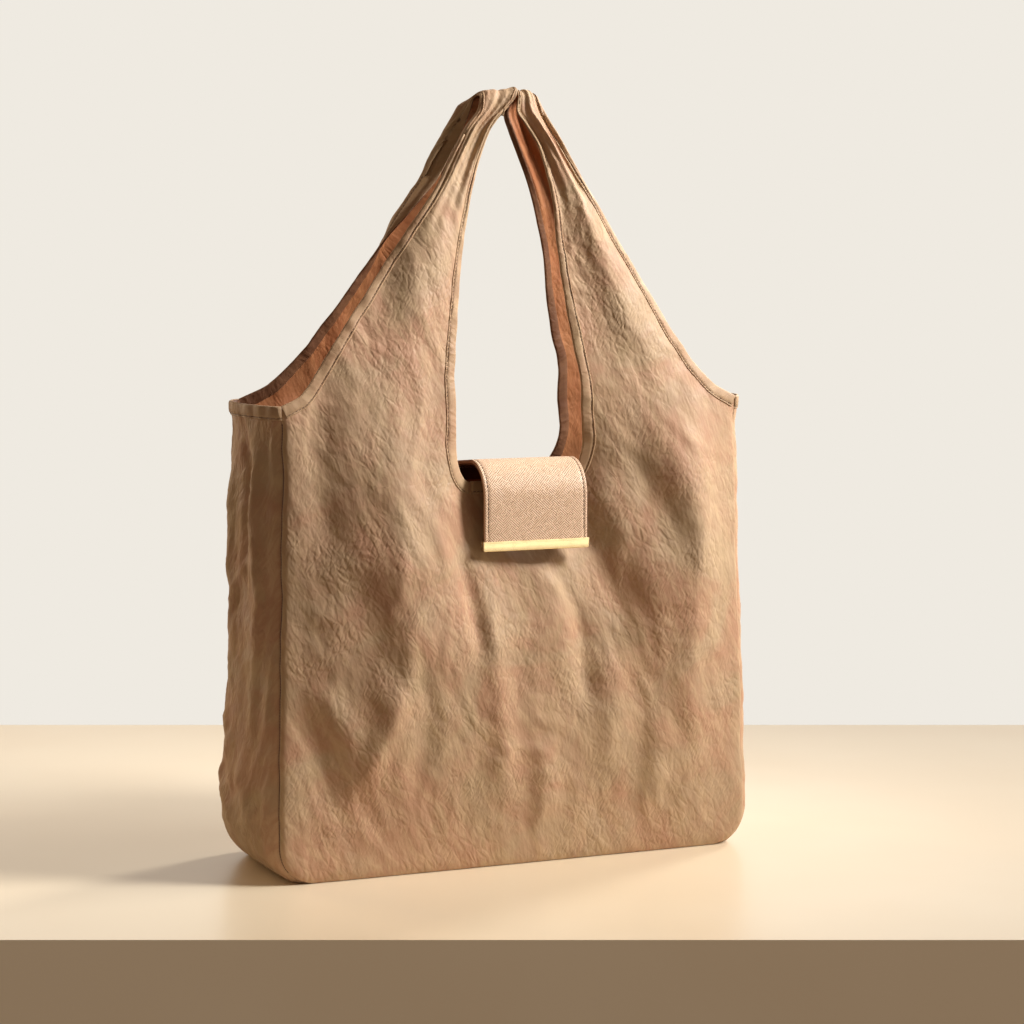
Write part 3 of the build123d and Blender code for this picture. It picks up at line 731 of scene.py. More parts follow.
def metal(name, base, roughness, grain=(900, 900, 900)):
    made = Material(name, base, roughness, Metallic=1.0)
    brushed = made.noise(made.solid(grain), 2, 0.6)
    made.roughness(brushed, 0.3, 0.7, roughness - 0.06, roughness + 0.09)
    wear = made.noise(made.solid(180), 4, 0.6)
    made.color(made.mix(made.span(wear, 0.45, 0.75, 0.0, 0.35), base, shade(base, 0.7)))
    made.bump(brushed, 0.12, 0.00004)
    return made.material


def plain(name, base, roughness, grain_scale, grain_depth):
    """A simple speckled material for thread, board and painted edges."""
    made = Material(name, base, roughness)
    grain = made.noise(made.solid(grain_scale), 3, 0.6)
    made.color(made.mix(made.span(grain, 0.3, 0.7, 0.0, 0.4), base, shade(base, 0.72)))
    made.bump(grain, 0.4, grain_depth)
    return made.material


cloth_outer = taffeta(
    "cloth_outer", srgb(170, 143, 113), srgb(170, 130, 102), srgb(202, 174, 137), 0.6, 0.25)
# The inside face: the cloth's own warm tone, made more orange as a painted glow of light shining through
# the thin cloth.
cloth_inner_with_painted_glow = taffeta(
    "cloth_inner_with_painted_glow", srgb(148, 96, 60), srgb(150, 92, 56), srgb(176, 122, 80), 0.6, 0.15)
cloth_tape = taffeta(
    "cloth_tape", srgb(166, 138, 106), srgb(162, 126, 96), srgb(192, 164, 128), 0.6, 0.2)
# A darker copy of the tape: painted shade for the tape's inner faces and for the seam tapes inside the bag.
tape_painted_shade = taffeta(
    "tape_painted_shade", srgb(104, 70, 46), srgb(96, 60, 38), srgb(128, 90, 60), 0.65, 0.1)
flap_leather = leather("flap_leather", srgb(226, 194, 162), srgb(158, 124, 94), 1.5)
lining_leather = leather("lining_leather", srgb(128, 92, 66), srgb(104, 70, 48), 2.4)
edge_paint = plain("edge_paint", srgb(222, 186, 160), 0.42, 700, 0.0001)
thread_dark = plain("thread_dark", srgb(76, 52, 36), 0.6, 4000, 0.0001)
gold = metal("gold", srgb(226, 196, 140), 0.24)
brushed_gold = metal("brushed_gold", srgb(232, 206, 154), 0.3, (60, 2600, 2600))
steel = metal("steel", srgb(190, 190, 192), 0.3)
magnet_steel = metal("magnet_steel", srgb(150, 150, 154), 0.36)
board = plain("board", srgb(150, 132, 108), 0.9, 900, 0.0003)


# ---------------------------------------------------------------- cloth pieces
def panel_rows():
    corner = corner_radius * (1 - np.cos(np.linspace(0, math.pi / 2, 16)))
    below = np.linspace(corner_radius, neck_bottom, round((neck_bottom - corner_radius) / cell))
    turn = np.linspace(0, math.pi / 2, 18)[1:]
    rise = neck_corner_top - neck_bottom
    neck_corner = neck_bottom + rise * (1 - np.cos(turn))
    shoulder = np.linspace(neck_corner_top, shoulder_height, 14)[1:]
    easing = np.linspace(0, 1, 9)[1:] ** 1.4
    start = shoulder_height + shoulder_ease * easing
    above = np.linspace(start[-1], loop_top, round((loop_top - start[-1]) / cell))[1:]
    lower = np.concatenate([corner, below[1:]])
    upper = np.concatenate([neck_corner, shoulder, start, above])
    return lower, upper


def panel_grid(zetas, left_edge, right_edge, columns, seam=0):
    """Rows and columns between two edges, packed closer beside a seam."""
    even = np.linspace(0, 1, columns)
    share = {0: even, LEFT: even**1.25, RIGHT: 1 - (1 - even) ** 1.25}[seam][None, :]
    x = left_edge[:, None] * (1 - share) + right_edge[:, None] * share
    return x, np.repeat(zetas[:, None], columns, 1)


def panel(facing):
    """One cut piece: body, two straps and the neck's cut-out."""
    lower, upper = panel_rows()
    side_columns, middle_columns = 68, 42
    blocks = []
    whole = np.concatenate([lower, upper])
    for side in (LEFT, RIGHT):
        outer, inner = outer_edge(whole, side, facing), neck_edge(whole, side, facing)
        inner = np.where(whole < neck_bottom + 0.01, side * neck_flat[facing, side], inner)
        ends = (outer, inner) if side == LEFT else (inner, outer)
        blocks.append(panel_grid(whole, *ends, side_columns, side))
    edge = np.ones(len(lower))
    blocks.append(panel_grid(
        lower, -edge * neck_flat[facing, LEFT], edge * neck_flat[facing, RIGHT], middle_columns))
    points, quads, uv, start = [], [], [], 0
    for x, zeta in blocks:
        points.append(wall_point(x, zeta, facing).reshape(-1, 3))
        quads.append(grid_quads(*x.shape, flip=facing == BACK) + start)
        uv.append(np.stack([x.ravel(), zeta.ravel()], -1))
        start += x.size
    points, quads, uv = weld(np.vstack(points), np.vstack(quads), np.vstack(uv))
    name = "panel_front_cloth" if facing == FRONT else "panel_back_cloth"
    return make_shell(name, points, quads, cloth_gauge, [cloth_outer, cloth_inner_with_painted_glow], uv)


def seam_path():
    """Heights and a turn for each row of a gusset, from its top down and round the corner."""
    rows = panel_rows()[0]
    top = np.linspace(neck_bottom, shoulder_height, round((shoulder_height - neck_bottom) / cell))
    return np.concatenate([rows, top[1:]])[::-1]


gusset_folds = {
    LEFT: [
        (5.0, 9, 14, [(20, 380), (34, 300), (26, 220), (40, 140)]),
        (-4.0, 8, 8, [(60, 370), (52, 300), (60, 220)]),
        (4.5, 12, 10, [(92, 360), (100, 280), (90, 200), (104, 110)]),
        (4.0, 9, 12, [(118, 150), (84, 100), (48, 62), (22, 36)]),
        (-3.5, 8, 8, [(100, 120), (64, 76), (34, 46)]),
        (3.5, 9, 10, [(124, 100), (92, 62), (60, 34)]),
    ],
    RIGHT: [
        (5.0, 12, 12, [(36, 380), (46, 290), (36, 190), (48, 90)]),
        (-4.0, 9, 9, [(70, 360), (62, 270), (74, 160)]),
        (5.0, 12, 12, [(100, 370), (94, 280), (106, 180), (98, 80)]),
        (3.5, 9, 9, [(120, 130), (90, 80), (50, 44)]),
    ],
}


def gusset_point(side, share, zeta):
    """A point of a gusset: share 0 at the front seam and 1 at the back one."""
    edge = outer_edge(zeta, side)
    front = wall_point(edge, zeta, FRONT)
    back = wall_point(edge, zeta, BACK)
    across = share * base_depth
    middle_bulge = 11.8
    rear_extra = 7.0 if side == LEFT else 4.0
    bulge = (middle_bulge + rear_extra * (share - 0.5)) * np.sin(math.pi * share) ** 0.6
    swollen_z, swollen_reach = 70, 60
    bulge = bulge * (1 + 0.35 * np.exp(-((zeta - swollen_z) / swollen_reach) ** 2))
    bulge = bulge + folded(across, zeta, gusset_folds[side])
    bulge = bulge + crumpled(across, zeta, gusset_crinkles, 121 if side == LEFT else 151)
    near_seam = np.minimum(share, 1 - share) * base_depth
    held_reach, puff, puff_reach, tucked = 9.0, 4.6, 2.4, 0.4
    held = 1 - np.exp(-near_seam / held_reach)
    beside_seam = puff * (1 - np.exp(-near_seam / puff_reach)) - tucked
    bulge = bulge * held * smooth(zeta, -2, 40) + beside_seam
    point = front * (1 - share)[..., None] + back * share[..., None]
    turn = np.arcsin(np.clip((corner_radius - zeta) / corner_radius, 0.0, 1.0))
    point[..., 0] += side * bulge * np.cos(turn)
    point[..., 2] = np.maximum(point[..., 2] - bulge * np.sin(turn), ground)
    return point


def gusset(side):
    zetas = seam_path()
    columns = 56
    even = np.linspace(0, 1, columns)
    packed = 0.5 * even + 0.25 * (1 - np.cos(math.pi * even))
    share = np.repeat(packed[None, :], len(zetas), 0)
    zeta = np.repeat(zetas[:, None], columns, 1)
    points = gusset_point(side, share, zeta).reshape(-1, 3)
    uv = np.stack([share.ravel() * base_depth + 600, zeta.ravel()], -1)
    quads = grid_quads(len(zetas), columns, flip=side == RIGHT)
    name = "gusset_left_cloth" if side == LEFT else "gusset_right_cloth"
    return make_shell(name, points, quads, cloth_gauge, [cloth_outer, cloth_inner_with_painted_glow], uv)


def base_cloth():
    """The strip the bag stands on, a little slack between its two seams."""
    rows, columns = 120, 50
    half = base_width / 2 - corner_radius
    x = np.repeat(np.linspace(-half, half, rows)[:, None], columns, 1)
    share = np.repeat(np.linspace(0, 1, columns)[None, :], rows, 0)
    front = wall_point(x, np.zeros_like(x), FRONT)
    back = wall_point(x, np.zeros_like(x), BACK)
    points = front * (1 - share)[..., None] + back * share[..., None]
    inside = np.sin(math.pi * share)
    slack = 0.8 + 0.7 * crinkle(x, share * base_depth, 24, 1.4, 10, 201)
    points[..., 2] = 0.9 + inside * np.clip(slack, 0, 3)
    uv = np.stack([x.ravel(), share.ravel() * base_depth + 900], -1)
    quads = grid_quads(rows, columns)
    return make_shell(
        "base_cloth", points.reshape(-1, 3), quads, cloth_gauge, [cloth_outer, cloth_inner_with_painted_glow], uv)


# ---------------------------------------------------------------- tapes and stitches
def on_cloth(surface, u, v, lift, outward):
    """Points lifted off a cloth surface along its normal; outward is the normal's sign."""
    step = 1.2
    point = surface(u, v)
    du = surface(u + step, v) - surface(u - step, v)
    dv = surface(u, v + step) - surface(u, v - step)
    normal = np.cross(du, dv)
    normal /= np.maximum(np.linalg.norm(normal, axis=-1), 1e-9)[..., None]
    return point + normal * (outward * lift)[..., None]


def on_wall(x, zeta, facing, lift):
    zeta = np.minimum(zeta, loop_top - 1.3)
    return on_cloth(lambda u, v: wall_point(u, v, facing), x, zeta, lift, -facing)


def on_gusset(side, across, zeta, lift):
    def surface(u, v):
        return gusset_point(side, np.clip(u / base_depth, 0, 1), v)
    return on_cloth(surface, across, zeta, lift, side)


any_width = 9.0


def tape_section(width):
    """A folded tape round a cloth edge: (distance in from the edge, lift) all the way round."""
    w = width
    return [
        (w, 0.05), (w - 0.25, 0.6), (w - 0.8, 0.75), (w - 1.25, 0.42), (w - 1.6, 0.3),
        (w - 1.95, 0.42), (w - 2.4, 0.8), (0.55 * w, 0.95), (1.2, 0.95), (0.1, 0.7), (-0.45, 0.1),
        (-0.45, -0.7), (0.1, -1.25), (1.2, -1.5), (0.55 * w, -1.5), (w - 0.6, -1.3), (w, -0.7)]


def tape_sides(bands):
    """Material of each face of a tape's bands: 1, the darker painted-shade copy of the tape, on the side
    that faces the cloth's inside.
    """
    section = tape_section(any_width)
    inner = [int(a[1] < 0 and b[1] < 0) for a, b in zip(section, section[1:] + section[:1])]
    return inner * bands + [0, 0]


def tube(rings):
    """Quads and end caps for rings of points, rows along the tube and columns round it."""
    rows, columns = rings.shape[:2]
    index = np.arange(rows * columns).reshape(rows, columns)
    following = np.roll(index, -1, axis=1)
    quads = np.stack([index[:-1], following[:-1], following[1:], index[1:]], -1)
    return quads.reshape(-1, 4).tolist() + [index[0][::-1].tolist(), index[-1].tolist()]


def edge_path(edge, side, facing, zetas, toward):
    """Points (x, zeta) along a cloth edge with the unit direction into the cloth at each."""
    x = edge(zetas, side, facing)
    along = np.stack([np.gradient(x), np.gradient(zetas)], -1)
    along /= np.linalg.norm(along, axis=1)[:, None]
    inward = np.stack([along[:, 1], -along[:, 0]], -1)
    inward *= np.sign(inward @ np.array(toward, float))[:, None]
    return x, zetas, inward, np.full(len(zetas), facing)


def path_lifted(path, distance, lift):
    """Points at a distance in from an edge path, lifted off the cloth."""
    x, zeta, inward, facing = path
    u, v = x + inward[:, 0] * distance, zeta + inward[:, 1] * distance
    points = np.zeros((len(x), 3))
    for face in (FRONT, BACK):
        here = facing == face
        if here.any():
            points[here] = on_wall(u[here], v[here], face, np.broadcast_to(lift, x.shape)[here])
    return points


def below_top(line, path):
    """The stretches of a stitch line that lie below the gathered top of the loops."""
    low = path[1] < gathered_z
    cuts = np.flatnonzero(np.diff(low.astype(int))) + 1
    parts = zip(np.split(line, cuts), np.split(low, cuts))
    return [part for part, keep in parts if keep[0] and len(part) > 4]


def joined_paths(*paths):
    return tuple(np.concatenate(parts) for parts in zip(*paths))


def tape_rings(path, widths, seed):
    """Rings of a folded tape along an edge path, a little puckered."""
    zeta = path[1]
    length = np.concatenate([[0], np.cumsum(np.hypot(np.diff(path[0]), np.diff(zeta)))])
    section_count = len(tape_section(any_width))
    rings = np.zeros((len(zeta), section_count, 3))
    sections = np.array([tape_section(w) for w in widths])
    for i in range(section_count):
        pucker = 0.22 * gradient_noise(length / 5.5, np.full(len(zeta), i / 3.0), seed)
        lift = sections[:, i, 1] + np.where(sections[:, i, 1] > 0.3, pucker, 0)
        rings[:, i] = path_lifted(path, sections[:, i, 0], lift)
    return rings


def tape_widths(path, low, high):
    return np.interp(path[1], [shoulder_height, total_height], [low, high])


def stitch_mesh(lines, pitch, length, radius):
    """Points and faces of a thread's stitches along lines of points."""
    sides, rings = 6, 5
    turn = np.arange(sides) * 2 * math.pi / sides
    all_points, all_faces = [], []
    template = tube(np.zeros((rings, sides, 3)))
    for line in lines:
        step = np.linalg.norm(np.diff(line, axis=0), axis=1)
        travel = np.concatenate([[0], np.cumsum(step)])
        for start in np.arange(pitch, travel[-1] - pitch, pitch):
            at = start + np.linspace(-0.5, 0.5, rings) * length
            middle = np.stack([np.interp(at, travel, line[:, i]) for i in range(3)], -1)
            along = middle[-1] - middle[0]
            along /= np.linalg.norm(along)
            first = np.cross(along, (0.31, 0.52, 0.79))
            first /= np.linalg.norm(first)
            second = np.cross(along, first)
            size = radius * np.array([0.35, 0.9, 1.0, 0.9, 0.35])
            ring = (np.cos(turn)[None, :, None] * first + np.sin(turn)[None, :, None] * second)
            points = middle[:, None, :] + ring * size[:, None, None]
            offset = len(all_points) * rings * sides
            all_points.append(points.reshape(-1, 3))
            all_faces += [[i + offset for i in face] for face in template]
    return np.vstack(all_points), all_faces


def join_tubes(parts):
    """Points, faces and flat coordinates of several tubes as one mesh."""
    points, faces, uv, start = [], [], [], 0
    for rings in parts:
        columns = rings.shape[1]
        flat = rings.reshape(-1, 3)
        step = np.linalg.norm(np.diff(rings[:, 0], axis=0), axis=1)
        travel = np.concatenate([[0], np.cumsum(step)])
        points.append(flat)
        uv.append(np.stack(np.meshgrid(np.arange(columns) * 1.1, travel), -1).reshape(-1, 2))
        faces += [[i + start for i in face] for face in tube(rings)]
        start += len(flat)
    return np.vstack(points), faces, np.vstack(uv)


def up_zetas(low):
    step = 2.4
    return np.linspace(low, loop_top - 1.3, round((loop_top - low) / step))


def armhole_path(side):
    """Up the front armhole edge, over the loop and down the back one."""
    easing = shoulder_height + shoulder_ease * np.linspace(0, 1, 14) ** 1.6
    zetas = np.concatenate([easing, up_zetas(easing[-1])[1:]])
    up = edge_path(outer_edge, side, FRONT, zetas, (-side, -1))
    down = edge_path(outer_edge, side, BACK, zetas[::-1], (-side, -1))
    return joined_paths(up, down)


def neck_path():
    """All the way round the neck: front bottom, right loop, back bottom, left loop."""
    turn = np.linspace(0, math.pi / 2, 22)
    corner = neck_bottom + (neck_corner_top - neck_bottom) * (1 - np.cos(turn))
    zetas = np.concatenate([corner, up_zetas(neck_corner_top)[1:]])

    def side_path(side, facing, going_up):
        z = zetas if going_up else zetas[::-1]
        return edge_path(neck_edge, side, facing, z, (side, -1))

    def bottom_path(facing, step):
        xs = np.linspace(-neck_flat[facing, LEFT], neck_flat[facing, RIGHT], 44)[1:-1][::step]
        count = len(xs)
        down = np.repeat([[0.0, -1.0]], count, 0)
        return xs, np.full(count, neck_bottom), down, np.full(count, facing)

    return joined_paths(
        bottom_path(FRONT, 1), side_path(RIGHT, FRONT, True), side_path(RIGHT, BACK, False),
        bottom_path(BACK, -1), side_path(LEFT, BACK, True), side_path(LEFT, FRONT, False))


def armhole_tape(side):
    """The folded hem round one armhole and across the top of its gusset."""
    path = armhole_path(side)
    widths = tape_widths(path, 10.0, 2.8)
    around = tape_rings(path, widths, 301 + side)
    across = np.linspace(-0.6, base_depth + 0.6, 56)
    top_width = 10.5
    section = np.array(tape_section(top_width))
    top = np.zeros((len(across), len(section), 3))
    for i, (distance, lift) in enumerate(section):
        pucker = 0.25 * gradient_noise(across / 6.0, np.full(len(across), i / 3.0), 311 + side)
        zeta = np.full(len(across), shoulder_height - distance)
        top[:, i] = on_gusset(side, across, zeta, lift + np.where(lift > 0.3, pucker, 0))
    name = "armhole_hem_left" if side == LEFT else "armhole_hem_right"
    points, faces, uv = join_tubes([around, top])
    sides = tape_sides(len(around) - 1) + tape_sides(len(top) - 1)
    hem = make_mesh(name, points, faces, [cloth_tape, tape_painted_shade], sides, uv)
    seam_line = np.full(len(across), shoulder_height - top_width + stitch_from_hem_edge)
    lines = below_top(path_lifted(path, widths - stitch_from_hem_edge, stitch_lift), path)
    lines.append(on_gusset(side, across, seam_line, np.full(len(across), stitch_lift)))
    return hem, lines


def neck_tape():
    path = neck_path()
    widths = tape_widths(path, 9.5, 2.4)
    points, faces, uv = join_tubes([tape_rings(path, widths, 321)])
    sides = tape_sides(len(path[0]) - 1)
    hem = make_mesh("neck_hem", points, faces, [cloth_tape, tape_painted_shade], sides, uv)
    lines = below_top(path_lifted(path, widths - stitch_from_hem_edge, stitch_lift), path)
    return hem, lines


def seam_lines():
    """The four side seams, from the hem down to the turn of the lower corner; dark stitches along them
    paint the seam's shade.
    """
    top, low = shoulder_height - 12.0, 8.0
    zetas = np.arange(top, low, -cell)
    return [
        wall_point(outer_edge(zetas, side), zetas, facing)
        for side in (LEFT, RIGHT) for facing in (FRONT, BACK)]


def seam_tape(facing):
    """Tape on the inside over the raw edges, down one side, along the base and up the other."""
    turn = np.linspace(0, math.pi / 2, 16)
    corner = corner_radius * (1 - np.cos(turn))
    climb = np.concatenate([corner, np.linspace(corner_radius, shoulder_height - 12, 130)[1:]])

    def seam_edge(zetas, side, facing):
        return side * seam_half(zetas)

    left = edge_path(seam_edge, LEFT, facing, climb[::-1], (1, 0.2))
    right = edge_path(seam_edge, RIGHT, facing, climb, (-1, 0.2))
    flat = base_width / 2 - corner_radius
    xs = np.linspace(-flat, flat, 130)[1:-1]
    up = np.repeat([[0.0, 1.0]], len(xs), 0)
    path = joined_paths(left, (xs, np.zeros(len(xs)), up, np.full(len(xs), facing)), right)
    section = [
        (1.6, -0.7), (1.4, -1.2), (2.2, -1.6), (5.0, -1.8),
        (7.8, -1.6), (8.6, -1.2), (8.4, -0.7), (5.0, -0.6)]
    rings = np.stack([path_lifted(path, distance, lift) for distance, lift in section], 1)
    points, faces, uv = join_tubes([rings])
    points[:, 2] = np.maximum(points[:, 2], 1.6)
    name = "seam_tape_front" if facing == FRONT else "seam_tape_back"
    # the whole seam tape takes the tape's darker copy, painted shade for the bag's inside
    return make_mesh(name, points, faces, [tape_painted_shade], uv=uv)


# ---------------------------------------------------------------- leather wrap and flap
outer_leather, board_thick, lining_thick = 1.4, 1.6, 0.9
under_wrap = 0.8
stack = outer_leather + board_thick + lining_thick
flap_box_low = box_mm("flap_outer")[0]
hinge_z = neck_bottom + 5.0
hinge_y = base_depth / 2 - wall_slope * hinge_z + under_wrap + stack / 2
flap_slope = math.radians(5.2)
flap_bend = 27.0
flap_front = flap_box_low[1] + stack / 2
flap_bottom = flap_box_low[2]
stitch_in = 3.0
layer_gap, wrap_lining_low = 0.05, 0.15
lining_inset, board_inset = 0.15, 4.2


def flap_length():
    """Lengths of the flap's top run, its bend and its front run, along the middle of the stack."""
    corner = hinge_z + (hinge_y - flap_front) * math.tan(flap_slope)
    tangent = flap_bend * math.tan((math.pi / 2 + flap_slope) / 2)
    top_run = (hinge_y - flap_front) / math.cos(flap_slope) - tangent
    return top_run, flap_bend * (math.pi / 2 + flap_slope), corner - tangent - flap_bottom


def flap_frame(travel):
    """Side view point and outward normal (y, z, ny, nz) of the flap at a length from the hinge."""
    top_run, bend, _ = flap_length()
    turned = np.clip((travel - top_run) / flap_bend, 0, bend / flap_bend)
    angle = -flap_slope + turned
    ny, nz = -np.sin(angle), np.cos(angle)
    on_top = np.clip(travel, 0, top_run)
    below = np.clip(travel - top_run - bend, 0, None)
    start_y = hinge_y - on_top * math.cos(flap_slope)
    start_z = hinge_z + on_top * math.sin(flap_slope)
    first_ny, first_nz = math.sin(flap_slope), math.cos(flap_slope)
    y = start_y + flap_bend * (ny - first_ny)
    z = start_z + flap_bend * (nz - first_nz) - below
    give = 0.5 * np.sin(math.pi * np.clip(travel / top_run, 0, 1)) ** 2
    return y - ny * give, z - nz * give, ny, nz


def wrap_frame(travel):
    """Side view point and outward normal of the back wall, up from the wrap's lower edge."""
    z = wrap_low_z + travel
    length = math.hypot(1, wall_slope)
    y = base_depth / 2 - wall_slope * z
    return y, z, np.full(z.shape, 1 / length), np.full(z.shape, wall_slope / length)


def swept(name, frame_at, travel, section, materials, sides=None):
    """A sheet of leather: its cross section (x, lift) carried along a side view line."""
    rim = 0.25
    section = np.array(section)
    middle = section[:, 1].mean()
    y, z, ny, nz = (np.asarray(v)[:, None] for v in frame_at(travel))
    ends = np.clip(np.minimum(travel - travel[0], travel[-1] - travel) / rim, 0, 1)
    squeeze = (0.72 + 0.28 * np.sqrt(1 - (1 - ends) ** 2))[:, None]
    lift = middle + (section[None, :, 1] - middle) * squeeze
    lift = lift + 0.06 * gradient_noise(travel[:, None] / 9, section[None, :, 0] / 9, 411)
    x = wrap_x + section[None, :, 0] + np.zeros_like(lift)
    points = np.stack([x, y + ny * lift, z + nz * lift], -1)
    around = np.concatenate([[0], np.cumsum(np.hypot(*np.diff(section, axis=0).T))])
    uv = np.stack(np.meshgrid(around, travel), -1).reshape(-1, 2)
    face_material = None if sides is None else sides * (len(travel) - 1) + [0, 0]
    return make_mesh(name, points.reshape(-1, 3), tube(points), materials, face_material, uv)


def rows_of(length):
    """Lengths of the rows along a piece of leather, closer together at both ends."""
    step = 1.6
    inside = np.linspace(0.3, length - 0.3, round(length / step))
    return np.concatenate([[0, 0.12], inside, [length - 0.12, length]])


def channel_section(low, inner, top):
    """Outer leather: flat on top, turned down at both sides, with a groove for the stitches."""
    w = wrap_half
    edge = [
        (w - 3.7, low), (w - 0.5, low), (w - 0.1, low + 0.35), (w, (low + top) / 2),
        (w - 0.05, top - 0.45), (w - 0.35, top - 0.1), (w - 0.9, top)]
    groove = [
        (w - 2.2, top), (w - 2.6, top - 0.2), (w - 3.0, top - 0.32),
        (w - 3.4, top - 0.2), (w - 3.9, top)]
    across = [(x, top + 0.12) for x in np.linspace(w - 6, -w + 6, 26)]
    half = edge + groove
    mirrored = [(-x, lift) for x, lift in half[::-1]]
    under = [(-w + 3.8, inner), (w - 3.8, inner)]
    section = half + across + mirrored + under
    sides = [0] * len(section)
    for i in range(1, 5):
        sides[i] = 1
        sides[len(half + across + mirrored) - 2 - i] = 1
    return section, sides


def slab_section(half, low, high):
    right = [(half - 0.25, low), (half, low + 0.25), (half, high - 0.25), (half - 0.25, high)]
    top = [(x, high) for x in np.linspace(half - 4, -half + 4, 12)]
    left = [(-x, lift) for x, lift in right[::-1]]
    bottom = [(x, low) for x in np.linspace(-half + 4, half - 4, 12)]
    return right + top + left + bottom


def leather_lines(frame_at, length, top):
    """Lines that the stitches follow along both sides."""
    travel = np.linspace(stitch_in, length - stitch_in, 160)
    y, z, ny, nz = frame_at(travel)
    lines = []
    for side in (LEFT, RIGHT):
        x = np.full(len(travel), wrap_x + side * (wrap_half - stitch_in))
        lines.append(np.stack([x, y + ny * (top - 0.22), z + nz * (top - 0.22)], -1))
    return lines


def end_line(frame_at, travel, top):
    y, z, ny, nz = (float(np.asarray(v).reshape(-1)[0]) for v in frame_at(np.array([travel])))
    x = np.linspace(wrap_x - wrap_half + stitch_in, wrap_x + wrap_half - stitch_in, 60)
    lift = top + 0.16
    return np.stack([x, np.full(len(x), y + ny * lift), np.full(len(x), z + nz * lift)], -1)


def leather_layers(part, frame_at, total, lining_span, outer_low):
    """Outer leather, board and lining of the flap or the wrap, by the CAD node each replaces."""
    board_short = 1.5
    board_low, board_high = lining_span[1] + layer_gap, outer_low - layer_gap
    rows = rows_of(total)
    section, sides = channel_section(board_low, outer_low, outer_low + outer_leather)
    lining = slab_section(wrap_half - lining_inset, *lining_span)
    stiffener = slab_section(wrap_half - board_inset, board_low, board_high)
    board_rows = rows_of(total - 2 * board_short) + board_short
    return {
        part + "_outer": swept(
            part + "_leather_outer", frame_at, rows, section, [flap_leather, edge_paint], sides),
        part + "_lining": swept(
            part + "_leather_lining", frame_at, rows, lining, [lining_leather]),
        part + "_stiffener": swept(
            part + "_board", frame_at, board_rows, stiffener, [board]),
    }


def leather_pieces():
    """Flap and wrap: outer leather, board and lining each, and their stitches."""
    flap_total, wrap_total = sum(flap_length()), wrap_high_z - wrap_low_z
    half = stack / 2
    base = under_wrap + lining_thick
    top = base + board_thick + outer_leather
    made = leather_layers(
        "flap", flap_frame, flap_total, (-half, -half + lining_thick), half - outer_leather)
    made.update(leather_layers(
        "wrap", wrap_frame, wrap_total, (wrap_lining_low, base), base + board_thick))
    flap_lines = leather_lines(flap_frame, flap_total - 6, half)
    wrap_lines = leather_lines(wrap_frame, wrap_total, top)
    wrap_lines += [
        end_line(wrap_frame, travel, top) for travel in (stitch_in, wrap_total - stitch_in)]
    stitches = []
    for name, lines in (("flap_stitches", flap_lines), ("wrap_stitches", wrap_lines)):
        stitches.append(make_mesh(name, *stitch_mesh(lines, 3.6, 2.7, 0.36), [thread_dark]))
    return made, stitches


def fold_roll():
    """The leather's rolled fold between the wrap and the flap."""
    xs = np.concatenate([
        [-wrap_half, -wrap_half + 0.3],
        np.linspace(-wrap_half + 1, wrap_half - 1, 60),
        [wrap_half - 0.3, wrap_half]])
    turn = np.linspace(0, 2 * math.pi, 28, endpoint=False)
    near_end = np.clip((wrap_half - np.abs(xs)) / 0.6, 0, 1)
    roll_radius, taller = 2.05, 1.12
    radius = roll_radius + 0.12 * gradient_noise(xs / 11, np.zeros(len(xs)), 431)
    radius = radius * (0.8 + 0.2 * np.sqrt(near_end))
    y = hinge_y + 0.15 + radius[:, None] * np.cos(turn)
    z = hinge_z - 0.3 + taller * radius[:, None] * np.sin(turn)
    x = np.repeat((xs + wrap_x)[:, None], len(turn), 1)
    points = np.stack([x, y, z], -1)
    uv = np.stack(np.meshgrid(turn * 2.1, xs), -1).reshape(-1, 2)
    return make_mesh("fold_roll", points.reshape(-1, 3), tube(points), [flap_leather], uv=uv)


def magnet_pouch():
    """The puffed square of cloth sewn inside the front over the magnet."""
    count = 34
    share = np.linspace(-1, 1, count)
    a, b = np.meshgrid(share, share)
    square = 1 - np.clip(np.abs(a), 0, 1) ** 6, 1 - np.clip(np.abs(b), 0, 1) ** 6
    puff = (square[0] * square[1]) ** 0.5
    waves = 0.25 * gradient_noise(a * 4, b * 4, 441)
    half, seam_lift, puff_height = 13, 0.9, 2.9
    x, z = wrap_x + half * a, magnet_z + half * b
    wall = -(base_depth / 2 - wall_slope * z)
    y = wall + cloth_gauge + seam_lift + puff * (puff_height + waves)
    points = np.stack([x, y, z], -1).reshape(-1, 3)
    uv = np.stack([x.ravel() + 1200, z.ravel()], -1)
    quads = grid_quads(count, count, flip=True)
    # both faces take the inside colour, with its painted glow of light through the cloth
    return make_shell("magnet_pouch", points, quads, 0.6, [cloth_inner_with_painted_glow, cloth_inner_with_painted_glow], uv)


# ---------------------------------------------------------------- metal
def lathed(name, profile_points, origin, axis, materials):
    """A turned piece: (radius, distance along the axis) pairs spun about the axis."""
    sides = 40
    axis = np.array(axis, float) / np.linalg.norm(axis)
    first = np.cross(axis, (0.3, 0.2, 0.93))
    first /= np.linalg.norm(first)
    second = np.cross(axis, first)
    turn = np.arange(sides) * 2 * math.pi / sides
    around = np.cos(turn)[:, None] * first + np.sin(turn)[:, None] * second
    rings = np.stack([
        np.array(origin) + axis * distance + around * radius for radius, distance in profile_points])
    return make_mesh(name, rings.reshape(-1, 3), tube(rings), materials)


def wire_rings(path, radius):
    """Rings of points round a smooth path of points."""
    sides = 12
    along = np.roll(path, -1, 0) - np.roll(path, 1, 0)
    along[0], along[-1] = path[1] - path[0], path[-1] - path[-2]
    along /= np.linalg.norm(along, axis=1)[:, None]
    side = np.cross(along[0], (0.21, 0.33, 0.92))
    turn = np.arange(sides) * 2 * math.pi / sides
    rings = []
    for point, direction in zip(path, along):
        side = side - direction * (side @ direction)
        side /= np.linalg.norm(side)
        other = np.cross(direction, side)
        around = np.cos(turn)[:, None] * side + np.sin(turn)[:, None] * other
        rings.append(point + radius * around)
    return np.stack(rings)


